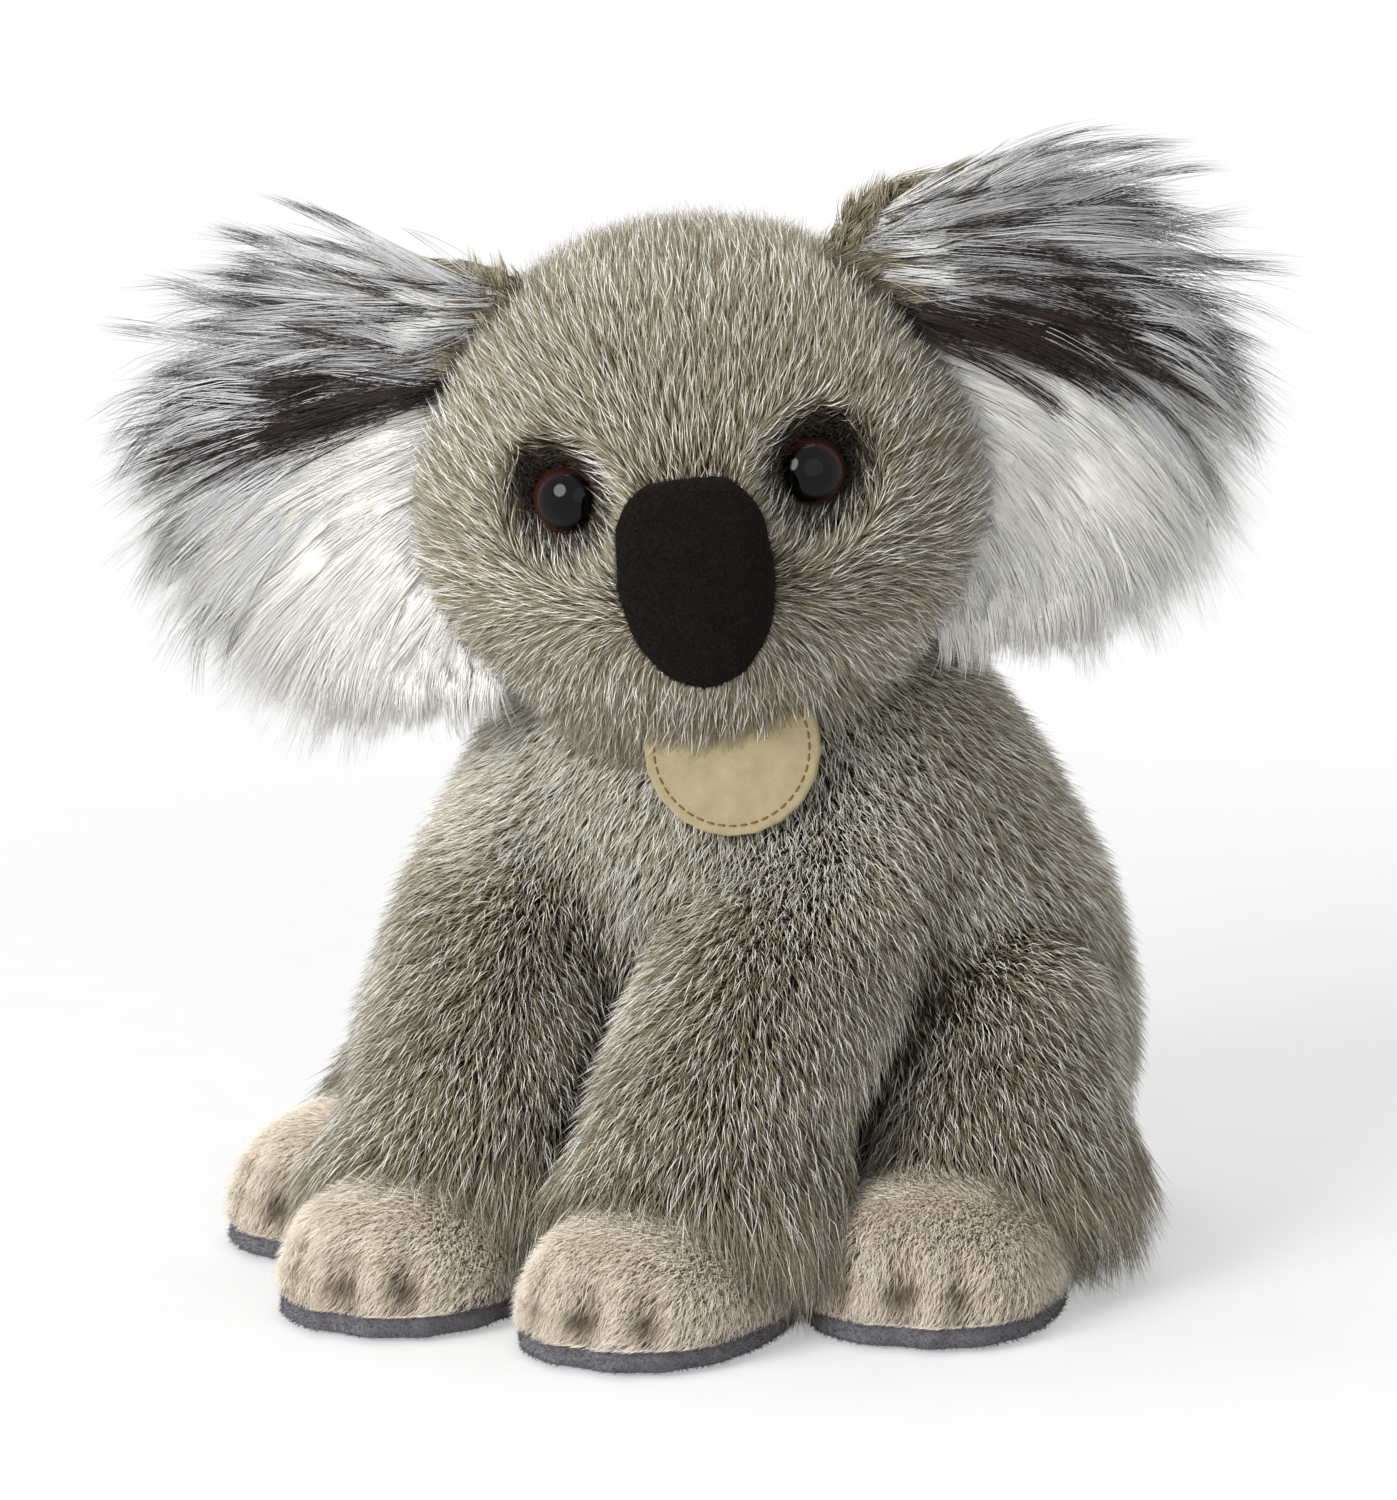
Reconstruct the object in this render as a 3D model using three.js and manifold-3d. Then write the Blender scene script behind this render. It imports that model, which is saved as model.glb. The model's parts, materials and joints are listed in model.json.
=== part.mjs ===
// A sitting plush koala, about 25 cm tall, as the sewn panels, fillings and small parts it is made of.
// Millimetres, +Z up, the front of the body towards -Y and its left side towards +X.
// The origin is on the flat underside of the seat, below the middle of the body.
import * as THREE from 'three';
import { mergeVertices } from 'three/addons/utils/BufferGeometryUtils.js';
import Module from 'manifold-3d';

const wasm = await Module();
wasm.setup();

// Clearances. Neighbouring pieces keep sewGap between their faces.
const sewGap = 0.3;
const overrun = 5;
const weld = 1e-4;

// The cloth. A skin of plush is as thick as its pile and its backing together.
const plush = { pile: 9, backing: 1.2 };
const shortPlush = { pile: 3.6, backing: 1 };
const plushSkin = plush.pile + plush.backing;
const shortSkin = shortPlush.pile + shortPlush.backing;

// The torso: a pear shape on a flat seat. Rows go up it: height, girth and forward lean.
const torso = {
  height: 146,
  halfWidth: 73,
  halfDepth: 66,
  setBack: 12,
  stoop: 40,
  topDome: 12,
  bottomDome: 8,
};
const torsoShares = [
  [-0.02, 0.76, 0.02],
  [0.04, 0.88, 0],
  [0.13, 0.955, 0],
  [0.24, 1, 0],
  [0.34, 1.01, 0.05],
  [0.44, 0.995, 0.16],
  [0.535, 0.965, 0.26],
  [0.685, 0.855, 0.42],
  [0.78, 0.745, 0.49],
  [0.863, 0.62, 0.52],
  [0.96, 0.42, 0.54],
];
const seat = { thickness: 6 };
const sideSeam = { forward: 12 };
const neck = { radius: 15, rise: 9, root: 2 * plushSkin, forward: 14 };
const pouch = { halfWidth: 34, halfDepth: 30, height: 20 };
const farAway = 3 * torso.height;

// The head, in its own frame: the face looks along -Y. Its middle lies above and ahead of the torso's crown.
const head = {
  halfWidth: 57.5,
  halfHeight: 54,
  halfDepth: 50,
  aside: 2.5,
  aheadOfCrown: 27.4,
  aboveCrown: 11.8,
  turn: 26,
  tilt: -7.2,
  nod: 3,
};
const cheek = { out: 3, drop: 16, reach: 24 };
const muzzle = { out: 11, drop: 13, halfWidth: 25, halfHeight: 24 };
const gusset = { halfWidth: 21, bottom: 16 };

// Moulded eyes on shanks, each held by a washer behind the cloth.
const eye = {
  radius: 7,
  dome: 5.2,
  rim: 1.4,
  out: 32,
  up: 10.5,
  sink: 2.2,
  splay: 24,
  lift: 6,
  shankRadius: 2.2,
  shankLength: 13,
  socketClearance: 0.5,
};
const washer = { radius: 7.5, thickness: 1.8, boreClearance: 0.3, behind: 1 };

// The nose: a padded felt oval sewn over the seam of the muzzle.
const nose = { halfWidth: 17.2, halfHeight: 23.6, dome: 7, felt: 1.6, drop: 8, sink: 4.5, lean: 4 };

// The ears: two layers of very long plush, sewn back to back into the side seams of the head.
const ear = {
  reach: 41,
  halfHeight: 55,
  halfThickness: 11,
  beyondHead: 19.5,
  up: 7,
  back: 4,
  sweep: 14,
  seamInset: 5.5,
  swing: 15,
};
const earOut = head.halfWidth + ear.beyondHead;
const earBulgeShares = [-0.85, -0.6, -0.3, 0, 0.3, 0.6, 0.85];
const earOutlineShares = [
  [-1.1, 0.05],
  [-0.98, 0.6],
  [-0.5, 0.97],
  [0.12, 1],
  [0.62, 0.76],
  [0.93, 0.3],
  [0.95, -0.2],
  [0.66, -0.66],
  [0.12, -0.93],
  [-0.48, -0.98],
  [-0.95, -0.62],
];

// The paws' places on the left and right differ a little: the toy sits with its feet swayed to its right.
const sway = { front: -5.5, hind: -2 };

// The arms reach down and forward from the shoulders to the front paws.
const shoulderDrop = 52;
const upperArmDrop = 77;
const arm = {
  shoulder: { out: 34, forward: 26, up: torso.height - shoulderDrop },
  upper: { out: 31.5, forward: 50, up: torso.height - upperArmDrop },
  elbow: { out: 28, forward: 65, up: 47 },
  wrist: { out: 27, forward: 76, up: 22 },
  halfWidth: 27,
  halfDepth: 26,
  shoulderDome: 20,
  wristDome: 9,
};
const armGirthShares = [0.86, 0.97, 1, 1, 1.02, 0.98];

// The legs stand against the sides of the seat: a domed haunch over the ankle.
const leg = {
  haunch: { out: 57.5, forward: 13, up: 51 },
  shin: { out: 59, forward: 18, up: 34 },
  ankle: { out: 60, forward: 23, up: 19 },
  halfWidth: 27,
  halfDepth: 29,
  haunchDome: 26,
  ankleDome: 9,
};
const legGirthShares = [0.95, 1.03, 1.02, 0.94];

// The paws: short plush on top of a felt sole. The hind paws turn out.
const frontPaw = {
  halfWidth: 25,
  halfLength: 33,
  height: 28,
  ahead: 16,
  aside: 0.5,
  turnOut: 0,
  limbEnd: arm.wrist,
  sway: sway.front,
};
const hindPaw = {
  halfWidth: 26,
  halfLength: 31,
  height: 29,
  ahead: 28,
  aside: 6,
  turnOut: 12,
  limbEnd: leg.ankle,
  sway: sway.hind,
};
const pawBluntness = 0.82;
const sole = { thickness: 4.4, inset: 1.6, toes: 4, toeDepth: 1.5, toeArc: 1.9 };

// The hang tag: two suede discs on a cord loop, sewn in below the chin.
const tag = {
  radius: 18,
  face: 1.7,
  backing: 1.3,
  seamOut: 3.8,
  seamForward: 23.8,
  seamDrop: 31.2,
  seamDepth: 13.4,
  turn: 20,
  lean: -12,
  holeRadius: 1.5,
  holeIn: 3.4,
  swing: 25,
};
const tagLoop = { radius: 3.6, cordRadius: 0.7 };

// How finely the forms are faceted.
const detail = {
  torso: 20,
  head: 22,
  headRows: 15,
  limb: 14,
  paw: 14,
  nose: 15,
  small: 10,
  turned: 12,
  steps: 3,
};
const domeShares = [0.25, 0.5, 0.75];

const colour = {
  plush: 0x8f8a7c,
  darkPlush: 0x776f60,
  paw: 0x9d9484,
  sole: 0x6f6c6e,
  filling: 0xf2efe6,
  suede: 0xc4b593,
  eye: 0x14100e,
  washer: 0xdcdcd8,
  felt: 0x1c1917,
  earFront: 0xe6e4da,
  earBack: 0x6d6967,
  cord: 0x6b5538,
};

function material(color, roughness = 0.9) {
  return new THREE.MeshStandardMaterial({ color, roughness, metalness: 0 });
}

// Solids.

function signedVolume(geometry) {
  const at = geometry.attributes.position;
  const index = geometry.index.array;
  const [a, b, c] = [new THREE.Vector3(), new THREE.Vector3(), new THREE.Vector3()];
  let volume = 0;
  for (let i = 0; i < index.length; i += 3) {
    a.fromBufferAttribute(at, index[i]);
    b.fromBufferAttribute(at, index[i + 1]);
    c.fromBufferAttribute(at, index[i + 2]);
    volume += a.dot(b.cross(c));
  }
  return volume;
}

// A closed geometry as a solid that can be joined and cut.
function solidOf(geometry) {
  const bare = geometry.clone();
  bare.deleteAttribute('normal');
  bare.deleteAttribute('uv');
  const merged = mergeVertices(bare, weld);
  const faces = new Uint32Array(merged.index.array);
  if (signedVolume(merged) < 0) {
    faces.reverse();
  }
  const points = merged.attributes.position.array;
  return new wasm.Manifold(new wasm.Mesh({ numProp: 3, vertProperties: points, triVerts: faces }));
}

function geometryOf(solid) {
  const { numProp, vertProperties, triVerts } = solid.getMesh();
  const positions = new Float32Array((vertProperties.length / numProp) * 3);
  for (let i = 0; i < positions.length / 3; i++) {
    positions.set(vertProperties.subarray(i * numProp, i * numProp + 3), i * 3);
  }
  const geometry = new THREE.BufferGeometry();
  geometry.setAttribute('position', new THREE.BufferAttribute(positions, 3));
  geometry.setIndex(new THREE.BufferAttribute(new Uint32Array(triVerts), 1));
  geometry.computeVertexNormals();
  return geometry;
}

// Only the largest body of a cut solid: slivers that a cut leaves are dropped.
function mainBody(solid) {
  const bodies = solid.decompose();
  return bodies.reduce((best, body) => (body.volume() > best.volume() ? body : best));
}

function box(low, high) {
  const size = high.clone().sub(low);
  const middle = high.clone().add(low).multiplyScalar(0.5);
  const geometry = new THREE.BoxGeometry(size.x, size.y, size.z);
  return solidOf(geometry.translate(middle.x, middle.y, middle.z));
}

// Everything on one side of a plane square to one axis: direction 1 keeps what is above the place.
function beyond(axis, place, direction) {
  const low = new THREE.Vector3(-farAway, -farAway, -farAway);
  const high = new THREE.Vector3(farAway, farAway, farAway);
  (direction > 0 ? low : high)[axis] = place;
  return box(low, high);
}

// A solid rod between two points.
function rod(from, to, radius, sides = detail.turned) {
  const along = to.clone().sub(from);
  const geometry = new THREE.CylinderGeometry(radius, radius, along.length(), sides);
  const ownAxis = new THREE.Vector3(0, 1, 0);
  geometry.applyQuaternion(new THREE.Quaternion().setFromUnitVectors(ownAxis, along.normalize()));
  const middle = from.clone().add(to).multiplyScalar(0.5);
  return solidOf(geometry.translate(middle.x, middle.y, middle.z));
}

// A closed skin through rings of points, with a pole at each end.
function loft(firstPole, rings, lastPole) {
  const sides = rings[0].length;
  const points = [firstPole, ...rings.flat(), lastPole];
  const at = (ring, side) => 1 + ring * sides + (side % sides);
  const faces = [];
  for (let side = 0; side < sides; side++) {
    faces.push(0, at(0, side + 1), at(0, side));
    for (let ring = 0; ring < rings.length - 1; ring++) {
      faces.push(at(ring, side), at(ring, side + 1), at(ring + 1, side));
      faces.push(at(ring, side + 1), at(ring + 1, side + 1), at(ring + 1, side));
    }
    faces.push(at(rings.length - 1, side), at(rings.length - 1, side + 1), points.length - 1);
  }
  const geometry = new THREE.BufferGeometry().setFromPoints(points);
  geometry.setIndex(faces);
  return solidOf(geometry);
}

function ellipse(middle, across, deep, sides) {
  return Array.from({ length: sides }, (_, i) => {
    const angle = (i / sides) * 2 * Math.PI;
    return middle.clone().addScaledVector(across, Math.cos(angle)).addScaledVector(deep, Math.sin(angle));
  });
}

// Angles of the rings that round off an end, from its rim towards its pole.
const domeAngles = domeShares.map((share) => (share * Math.PI) / 2);

// A swelling limb along a curve: half sizes follow the girth shares, and both ends are domes.
function limb({ curve, halfWidth, halfDepth, girthShares, firstDome, lastDome, grow }) {
  const girth = new THREE.CatmullRomCurve3(girthShares.map((share, i) => new THREE.Vector3(i, share, 0)));
  const outward = new THREE.Vector3(1, 0, 0);
  const section = (share, offset, shrink) => {
    const tangent = curve.getTangent(share);
    const across = outward.clone().addScaledVector(tangent, -outward.dot(tangent)).normalize();
    const deep = tangent.clone().cross(across);
    const swell = girth.getPoint(share).y;
    const middle = curve.getPoint(share).addScaledVector(tangent, offset);
    across.multiplyScalar((halfWidth * swell + grow) * shrink);
    deep.multiplyScalar((halfDepth * swell + grow) * shrink);
    return ellipse(middle, across, deep, detail.limb);
  };
  const [first, last] = [firstDome + grow, lastDome + grow];
  const domeRing = (share, reach) => (angle) => section(share, reach * Math.sin(angle), Math.cos(angle));
  const firstRings = domeAngles.map(domeRing(0, -first)).reverse();
  const middleRings = girthShares.map((_, i) => section(i / (girthShares.length - 1), 0, 1));
  const lastRings = domeAngles.map(domeRing(1, last));
  const pole = (share, offset) => curve.getPoint(share).addScaledVector(curve.getTangent(share), offset);
  return loft(pole(0, -first), [...firstRings, ...middleRings, ...lastRings], pole(1, last));
}

// Forms. Each takes how far it grows beyond the outside of the pile, or shrinks within it.

function torsoForm(grow) {
  const sides = detail.torso;
  const profile = new THREE.CatmullRomCurve3(torsoShares.map((row) => new THREE.Vector3(...row)));
  const section = (share, offset, shrink) => {
    const { x: height, y: girth, z: lean } = profile.getPoint(share);
    const middle = new THREE.Vector3(0, torso.setBack - torso.stoop * lean, torso.height * height + offset);
    const across = new THREE.Vector3((torso.halfWidth * girth + grow) * shrink, 0, 0);
    const deep = new THREE.Vector3(0, (torso.halfDepth * girth + grow) * shrink, 0);
    return ellipse(middle, across, deep, sides);
  };
  const [bottom, top] = [torso.bottomDome + grow, torso.topDome + grow];
  const side = torsoShares.map((_, i) => section(i / (torsoShares.length - 1), 0, 1));
  const topRings = domeAngles.map((angle) => section(1, top * Math.sin(angle), Math.cos(angle)));
  const pole = ([height, , lean], offset) =>
    new THREE.Vector3(0, torso.setBack - torso.stoop * lean, torso.height * height + offset);
  return loft(pole(torsoShares[0], -bottom), [...side, ...topRings], pole(torsoShares.at(-1), top));
}

// The point of the head's outside that lies in a direction of the head's frame.
function headPoint(direction, grow) {
  const d = direction.clone().normalize();
  const [aside, up] = [d.x * head.halfWidth, d.z * head.halfHeight];
  const lowSide = Math.exp(-(((up + cheek.drop) / cheek.reach) ** 2));
  const facing = Math.max(0, -d.y);
  const snout = Math.exp(-((aside / muzzle.halfWidth) ** 2) - ((up + muzzle.drop) / muzzle.halfHeight) ** 2);
  return new THREE.Vector3(
    d.x * (head.halfWidth + grow + cheek.out * lowSide * Math.abs(d.x)),
    d.y * (head.halfDepth + grow) - muzzle.out * snout * facing,
    d.z * (head.halfHeight + grow),
  );
}

// The same for a place given by how far it lies out, forward and up.
function headPlace(out, forward, up, grow) {
  const ray = new THREE.Vector3(out / head.halfWidth, -forward / head.halfDepth, up / head.halfHeight);
  return headPoint(ray, grow);
}

function headForm(grow) {
  const geometry = new THREE.SphereGeometry(1, detail.head, detail.headRows).rotateX(Math.PI / 2);
  const at = geometry.attributes.position;
  const direction = new THREE.Vector3();
  for (let i = 0; i < at.count; i++) {
    const point = headPoint(direction.fromBufferAttribute(at, i), grow);
    at.setXYZ(i, point.x, point.y, point.z);
  }
  return solidOf(geometry);
}

function armForm(side, grow, wristRun = 0) {
  const place = ({ out, forward, up }) => new THREE.Vector3(side * out, -forward, up);
  const places = [arm.shoulder, arm.upper, arm.elbow, arm.wrist].map(place);
  places.forEach((point, i) => {
    point.x += (sway.front * i) / (places.length - 1);
  });
  const curve = new THREE.CatmullRomCurve3(places);
  return limb({
    ...arm,
    curve,
    girthShares: armGirthShares,
    firstDome: arm.shoulderDome,
    lastDome: arm.wristDome + wristRun,
    grow,
  });
}

function legForm(side, grow, ankleRun = 0) {
  const place = ({ out, forward, up }) => new THREE.Vector3(side * out, -forward, up);
  const curve = new THREE.CatmullRomCurve3([leg.haunch, leg.shin, leg.ankle].map(place));
  return limb({
    ...leg,
    curve,
    girthShares: legGirthShares,
    firstDome: leg.haunchDome,
    lastDome: leg.ankleDome + ankleRun,
    grow,
  });
}

// Where a paw stands on the floor below the end of its limb, and its turn about the vertical.
function pawPlace(paw, side) {
  const turned = new THREE.Matrix4().makeRotationZ(THREE.MathUtils.degToRad(side * paw.turnOut));
  const out = side * (paw.limbEnd.out + paw.aside) + paw.sway;
  return turned.setPosition(out, -paw.limbEnd.forward - paw.ahead, 0);
}

// Makes a round outline blunter at the toes and the heel.
const blunt = (value) => Math.sign(value) * Math.abs(value) ** pawBluntness;

// A low dome on a straight-sided foot.
function pawForm(paw, side, grow) {
  const geometry = new THREE.SphereGeometry(1, detail.paw, detail.paw / 2).rotateX(Math.PI / 2);
  const at = geometry.attributes.position;
  const [rise, depth] = [paw.height - sole.thickness + grow, sole.thickness + overrun];
  for (let i = 0; i < at.count; i++) {
    const [x, y, z] = [at.getX(i), at.getY(i), at.getZ(i)];
    const round = Math.hypot(x, y);
    const widen = z < 0 && round > weld ? 1 / round : 1;
    const across = blunt(x * widen) * (paw.halfWidth + grow);
    const along = blunt(y * widen) * (paw.halfLength + grow);
    at.setXYZ(i, across, along, sole.thickness + (z > 0 ? blunt(z) * rise : z * depth));
  }
  return solidOf(geometry.applyMatrix4(pawPlace(paw, side)));
}

// The sole's outline, with a scallop for each toe at the front.
function soleForm(paw, side) {
  const outline = [];
  const count = detail.paw * 2;
  for (let i = 0; i < count; i++) {
    const angle = (i / count) * 2 * Math.PI;
    const fromFront = Math.atan2(Math.cos(angle), -Math.sin(angle));
    const toe = Math.abs(fromFront) < sole.toeArc / 2;
    const along = ((fromFront / sole.toeArc + 0.5) * sole.toes) % 1;
    const nick = toe ? sole.toeDepth * (1 - Math.sin(along * Math.PI)) : 0;
    const [wide, long] = [paw.halfWidth - sole.inset - nick, paw.halfLength - sole.inset - nick];
    outline.push(new THREE.Vector2(blunt(Math.cos(angle)) * wide, blunt(Math.sin(angle)) * long));
  }
  const depth = sole.thickness - sewGap;
  const geometry = new THREE.ExtrudeGeometry(new THREE.Shape(outline), { depth, bevelEnabled: false });
  return solidOf(geometry.applyMatrix4(pawPlace(paw, side)));
}

// How far back the middle of an ear's thickness lies at a distance out from the middle of the head.
const earMiddle = (out) => ear.back + (ear.sweep * (out - earOut)) / ear.reach;

// An ear in the head's frame: a flat fan with a rounded edge, swept back towards its tip.
function earForm(side) {
  const outline = new THREE.CatmullRomCurve3(
    earOutlineShares.map(([out, up]) => new THREE.Vector3(out * ear.reach, 0, up * ear.halfHeight)),
    true,
  );
  const rim = outline.getPoints(detail.torso).slice(0, -1);
  const ring = (angle) =>
    rim.map((point) => {
      const shrunk = point.clone().multiplyScalar(Math.cos(angle));
      const out = earOut + shrunk.x;
      const back = earMiddle(out) + ear.halfThickness * Math.sin(angle);
      return new THREE.Vector3(side * out, back, ear.up + shrunk.z);
    });
  const angles = earBulgeShares.map((share) => (share * Math.PI) / 2);
  const pole = (offset) => new THREE.Vector3(side * earOut, ear.back + offset, ear.up);
  return loft(pole(-ear.halfThickness), angles.map(ring), pole(ear.halfThickness));
}

// The surface between an ear's two layers, as the solid on its front or back side.
function earSide(side, direction) {
  const slab = beyond('y', (direction * sewGap) / 2, direction);
  const turn = Math.atan2(ear.sweep, ear.reach);
  const place = new THREE.Matrix4().makeRotationZ(side * turn).setPosition(side * earOut, ear.back, 0);
  return slab.transform(place.elements);
}

// Everything that a solid sweeps when it turns through steps of an angle about a line along one axis.
function swept(solid, hinge, axis, fromDegrees, toDegrees) {
  const steps = Array.from({ length: detail.steps + 1 }, (_, i) => i / detail.steps);
  const turned = steps.map((share) => {
    const angle = THREE.MathUtils.degToRad(fromDegrees + (toDegrees - fromDegrees) * share);
    const place = new THREE.Matrix4().makeTranslation(hinge);
    place.multiply(new THREE.Matrix4().makeRotationAxis(axis, angle));
    place.multiply(new THREE.Matrix4().makeTranslation(hinge.clone().negate()));
    return solid.transform(place.elements);
  });
  return turned.reduce((a, b) => a.add(b));
}

// Frames.

const koala = new THREE.Group();

function group(parent, position, [x, y, z]) {
  const made = new THREE.Group();
  made.position.copy(position);
  const radians = [x, y, z].map(THREE.MathUtils.degToRad);
  made.rotation.set(...radians, 'ZYX');
  parent.add(made);
  koala.updateMatrixWorld(true);
  return made;
}

// The middle of the tag's discs. The origin of their frame is the middle of the loop that they swing about.
const tagMiddle = new THREE.Vector3(
  0,
  (tag.face - tag.backing - sewGap) / 2,
  tag.holeIn - tag.radius - tagLoop.radius,
);

function tagDisc(front, thickness, { grow = 0, bored = true } = {}) {
  const outline = new THREE.Shape().absarc(0, 0, tag.radius + grow, 0, 2 * Math.PI);
  if (bored) {
    const hole = new THREE.Path().absarc(0, tag.radius - tag.holeIn, tag.holeRadius, 0, 2 * Math.PI);
    outline.holes.push(hole);
  }
  const settings = { depth: thickness + 2 * grow, bevelEnabled: false, curveSegments: detail.small };
  const geometry = new THREE.ExtrudeGeometry(outline, settings);
  geometry.rotateX(Math.PI / 2).translate(0, front + thickness + grow, 0);
  return solidOf(geometry.translate(tagMiddle.x, tagMiddle.y, tagMiddle.z));
}

// The room that the tag and its loop need below the chin.
function tagRoom() {
  const wholeTag = tagDisc(-tag.face, tag.face + sewGap + tag.backing, { grow: sewGap, bored: false });
  const sideways = new THREE.Vector3(1, 0, 0);
  const reach = sideways.clone().multiplyScalar(tagLoop.cordRadius + sewGap);
  const loopRoom = rod(reach.clone().negate(), reach, tagLoop.radius + tagLoop.cordRadius + sewGap);
  return swept(wholeTag, new THREE.Vector3(), sideways, -tag.swing, 0).add(loopRoom);
}

const [crownHeight, , crownLean] = torsoShares.at(-1);
const crown = new THREE.Vector3(
  0,
  torso.setBack - torso.stoop * crownLean,
  torso.height * crownHeight + torso.topDome,
);
const headMiddle = new THREE.Vector3(head.aside, crown.y - head.aheadOfCrown, crown.z + head.aboveCrown);
const headGroup = group(koala, headMiddle, [head.nod, head.tilt, head.turn]);
const tagSeam = headPlace(tag.seamOut, tag.seamForward, -tag.seamDrop, -tag.seamDepth);
const tagGroup = group(koala, tagSeam.applyMatrix4(headGroup.matrixWorld), [tag.lean, 0, tag.turn]);

const moved = (solid, matrix) => solid.transform(matrix.elements);
const intoHead = (solid) => moved(solid, headGroup.matrixWorld.clone().invert());

// Adds one named piece, given in its group's own frame.
function add(parent, name, solid, look) {
  const mesh = new THREE.Mesh(geometryOf(mainBody(solid)), look);
  mesh.name = name;
  parent.add(mesh);
}

const plushLook = material(colour.plush);
const darkPlushLook = material(colour.darkPlush);
const fillLook = material(colour.filling, 1);
const suedeLook = material(colour.suede);

// The torso: seat, chest panel and two back panels round one filling.

const floor = beyond('z', 0, 1);
const torsoOutside = torsoForm(0);
const torsoClear = torsoForm(sewGap);
const neckForm = (grow) => {
  const at = (height) => new THREE.Vector3(0, crown.y - neck.forward, height);
  return rod(at(crown.z - neck.root), at(crown.z + neck.rise + grow), neck.radius + grow);
};

const torsoCavity = torsoForm(-plushSkin).intersect(beyond('z', seat.thickness, 1));
const torsoSkin = torsoOutside.subtract(torsoCavity).intersect(floor).subtract(neckForm(sewGap));
const aboveSeat = beyond('z', seat.thickness + sewGap, 1);
const inFront = beyond('y', -sideSeam.forward - sewGap / 2, -1);
const behind = beyond('y', -sideSeam.forward + sewGap / 2, 1);
const sides = [
  { word: 'left', sign: 1 },
  { word: 'right', sign: -1 },
];

add(koala, 'seat_panel', torsoSkin.intersect(beyond('z', seat.thickness, -1)), darkPlushLook);
add(koala, 'chest_panel', torsoSkin.intersect(aboveSeat).intersect(inFront), plushLook);
for (const { word, sign } of sides) {
  const half = torsoSkin.intersect(beyond('x', (sign * sewGap) / 2, sign));
  add(koala, `back_panel_${word}`, half.intersect(aboveSeat).intersect(behind), plushLook);
}

const pouchForm = (grow) => {
  const geometry = new THREE.SphereGeometry(1, detail.turned, detail.turned / 2).rotateX(Math.PI / 2);
  geometry.scale(pouch.halfWidth + grow, pouch.halfDepth + grow, pouch.height + grow);
  geometry.translate(0, torso.setBack, seat.thickness);
  return solidOf(geometry).intersect(beyond('z', seat.thickness + sewGap, 1));
};
const torsoFill = torsoForm(-plushSkin - sewGap)
  .intersect(beyond('z', seat.thickness + sewGap, 1))
  .add(neckForm(0))
  .subtract(pouchForm(sewGap));
add(koala, 'torso_filling', torsoFill, fillLook);
add(koala, 'seat_pellet_pouch', pouchForm(0), fillLook);

// The limbs: a sleeve of long plush, open where it is sewn on, round a filling. What is sewn on later gives
// way to what is there already.

let taken = torsoClear;
const limbKinds = [
  { kind: 'arm', form: armForm },
  { kind: 'leg', form: legForm },
];
for (const { kind, form } of limbKinds) {
  for (const { word, sign } of sides) {
    const sleeve = form(sign, 0).subtract(form(sign, -plushSkin, plushSkin + overrun));
    add(koala, `${kind}_skin_${word}`, sleeve.subtract(taken).intersect(floor), darkPlushLook);
    add(koala, `${kind}_filling_${word}`, form(sign, -plushSkin - sewGap).subtract(taken), fillLook);
    taken = taken.add(form(sign, sewGap));
  }
}

// The paws: a short plush top and a felt sole round a filling.

const pawKinds = [
  { kind: 'front_paw', paw: frontPaw },
  { kind: 'hind_paw', paw: hindPaw },
];
const aboveSole = beyond('z', sole.thickness, 1);
const pawLook = material(colour.paw);
const soleLook = material(colour.sole);
for (const { kind, paw } of pawKinds) {
  for (const { word, sign } of sides) {
    const top = pawForm(paw, sign, 0).subtract(pawForm(paw, sign, -shortSkin));
    add(koala, `${kind}_top_${word}`, top.intersect(aboveSole).subtract(taken), pawLook);
    const filling = pawForm(paw, sign, -shortSkin - sewGap);
    add(koala, `${kind}_filling_${word}`, filling.intersect(aboveSole).subtract(taken), fillLook);
    add(koala, `${kind}_sole_${word}`, soleForm(paw, sign).subtract(taken), soleLook);
    taken = taken.add(pawForm(paw, sign, sewGap));
  }
}

// The head: crown gusset and two side panels round one filling, in the head's frame.

const bodyClear = intoHead(torsoClear);
const eyeSeat = (sign) => {
  const point = headPlace(sign * eye.out, head.halfDepth, eye.up, -eye.sink);
  const [lift, splay] = [eye.lift, sign * eye.splay].map(THREE.MathUtils.degToRad);
  return { point, facing: new THREE.Vector3(0, -1, 0).applyEuler(new THREE.Euler(-lift, 0, splay, 'ZYX')) };
};

// A turned piece with its axis on the eye's, its own zero at the front of the dome.
function eyeTurned(sign, profile) {
  const { point, facing } = eyeSeat(sign);
  const geometry = new THREE.LatheGeometry(profile, detail.turned);
  const turn = new THREE.Quaternion().setFromUnitVectors(new THREE.Vector3(0, 1, 0), facing);
  geometry.applyQuaternion(turn).translate(point.x, point.y, point.z);
  return solidOf(geometry);
}

function eyeSolid(sign, grow, shankRadius) {
  const back = -eye.dome - eye.rim - grow;
  const domePoint = (angle) =>
    new THREE.Vector2((eye.radius + grow) * Math.cos(angle), (eye.dome + grow) * Math.sin(angle) - eye.dome);
  return eyeTurned(sign, [
    new THREE.Vector2(0, back - eye.shankLength),
    new THREE.Vector2(shankRadius, back - eye.shankLength),
    new THREE.Vector2(shankRadius, back),
    new THREE.Vector2(eye.radius + grow, back),
    ...[0, ...domeAngles].map(domePoint),
    new THREE.Vector2(0, grow),
  ]);
}

const washerFront = -eye.dome - eye.rim - washer.behind - sewGap;

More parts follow.
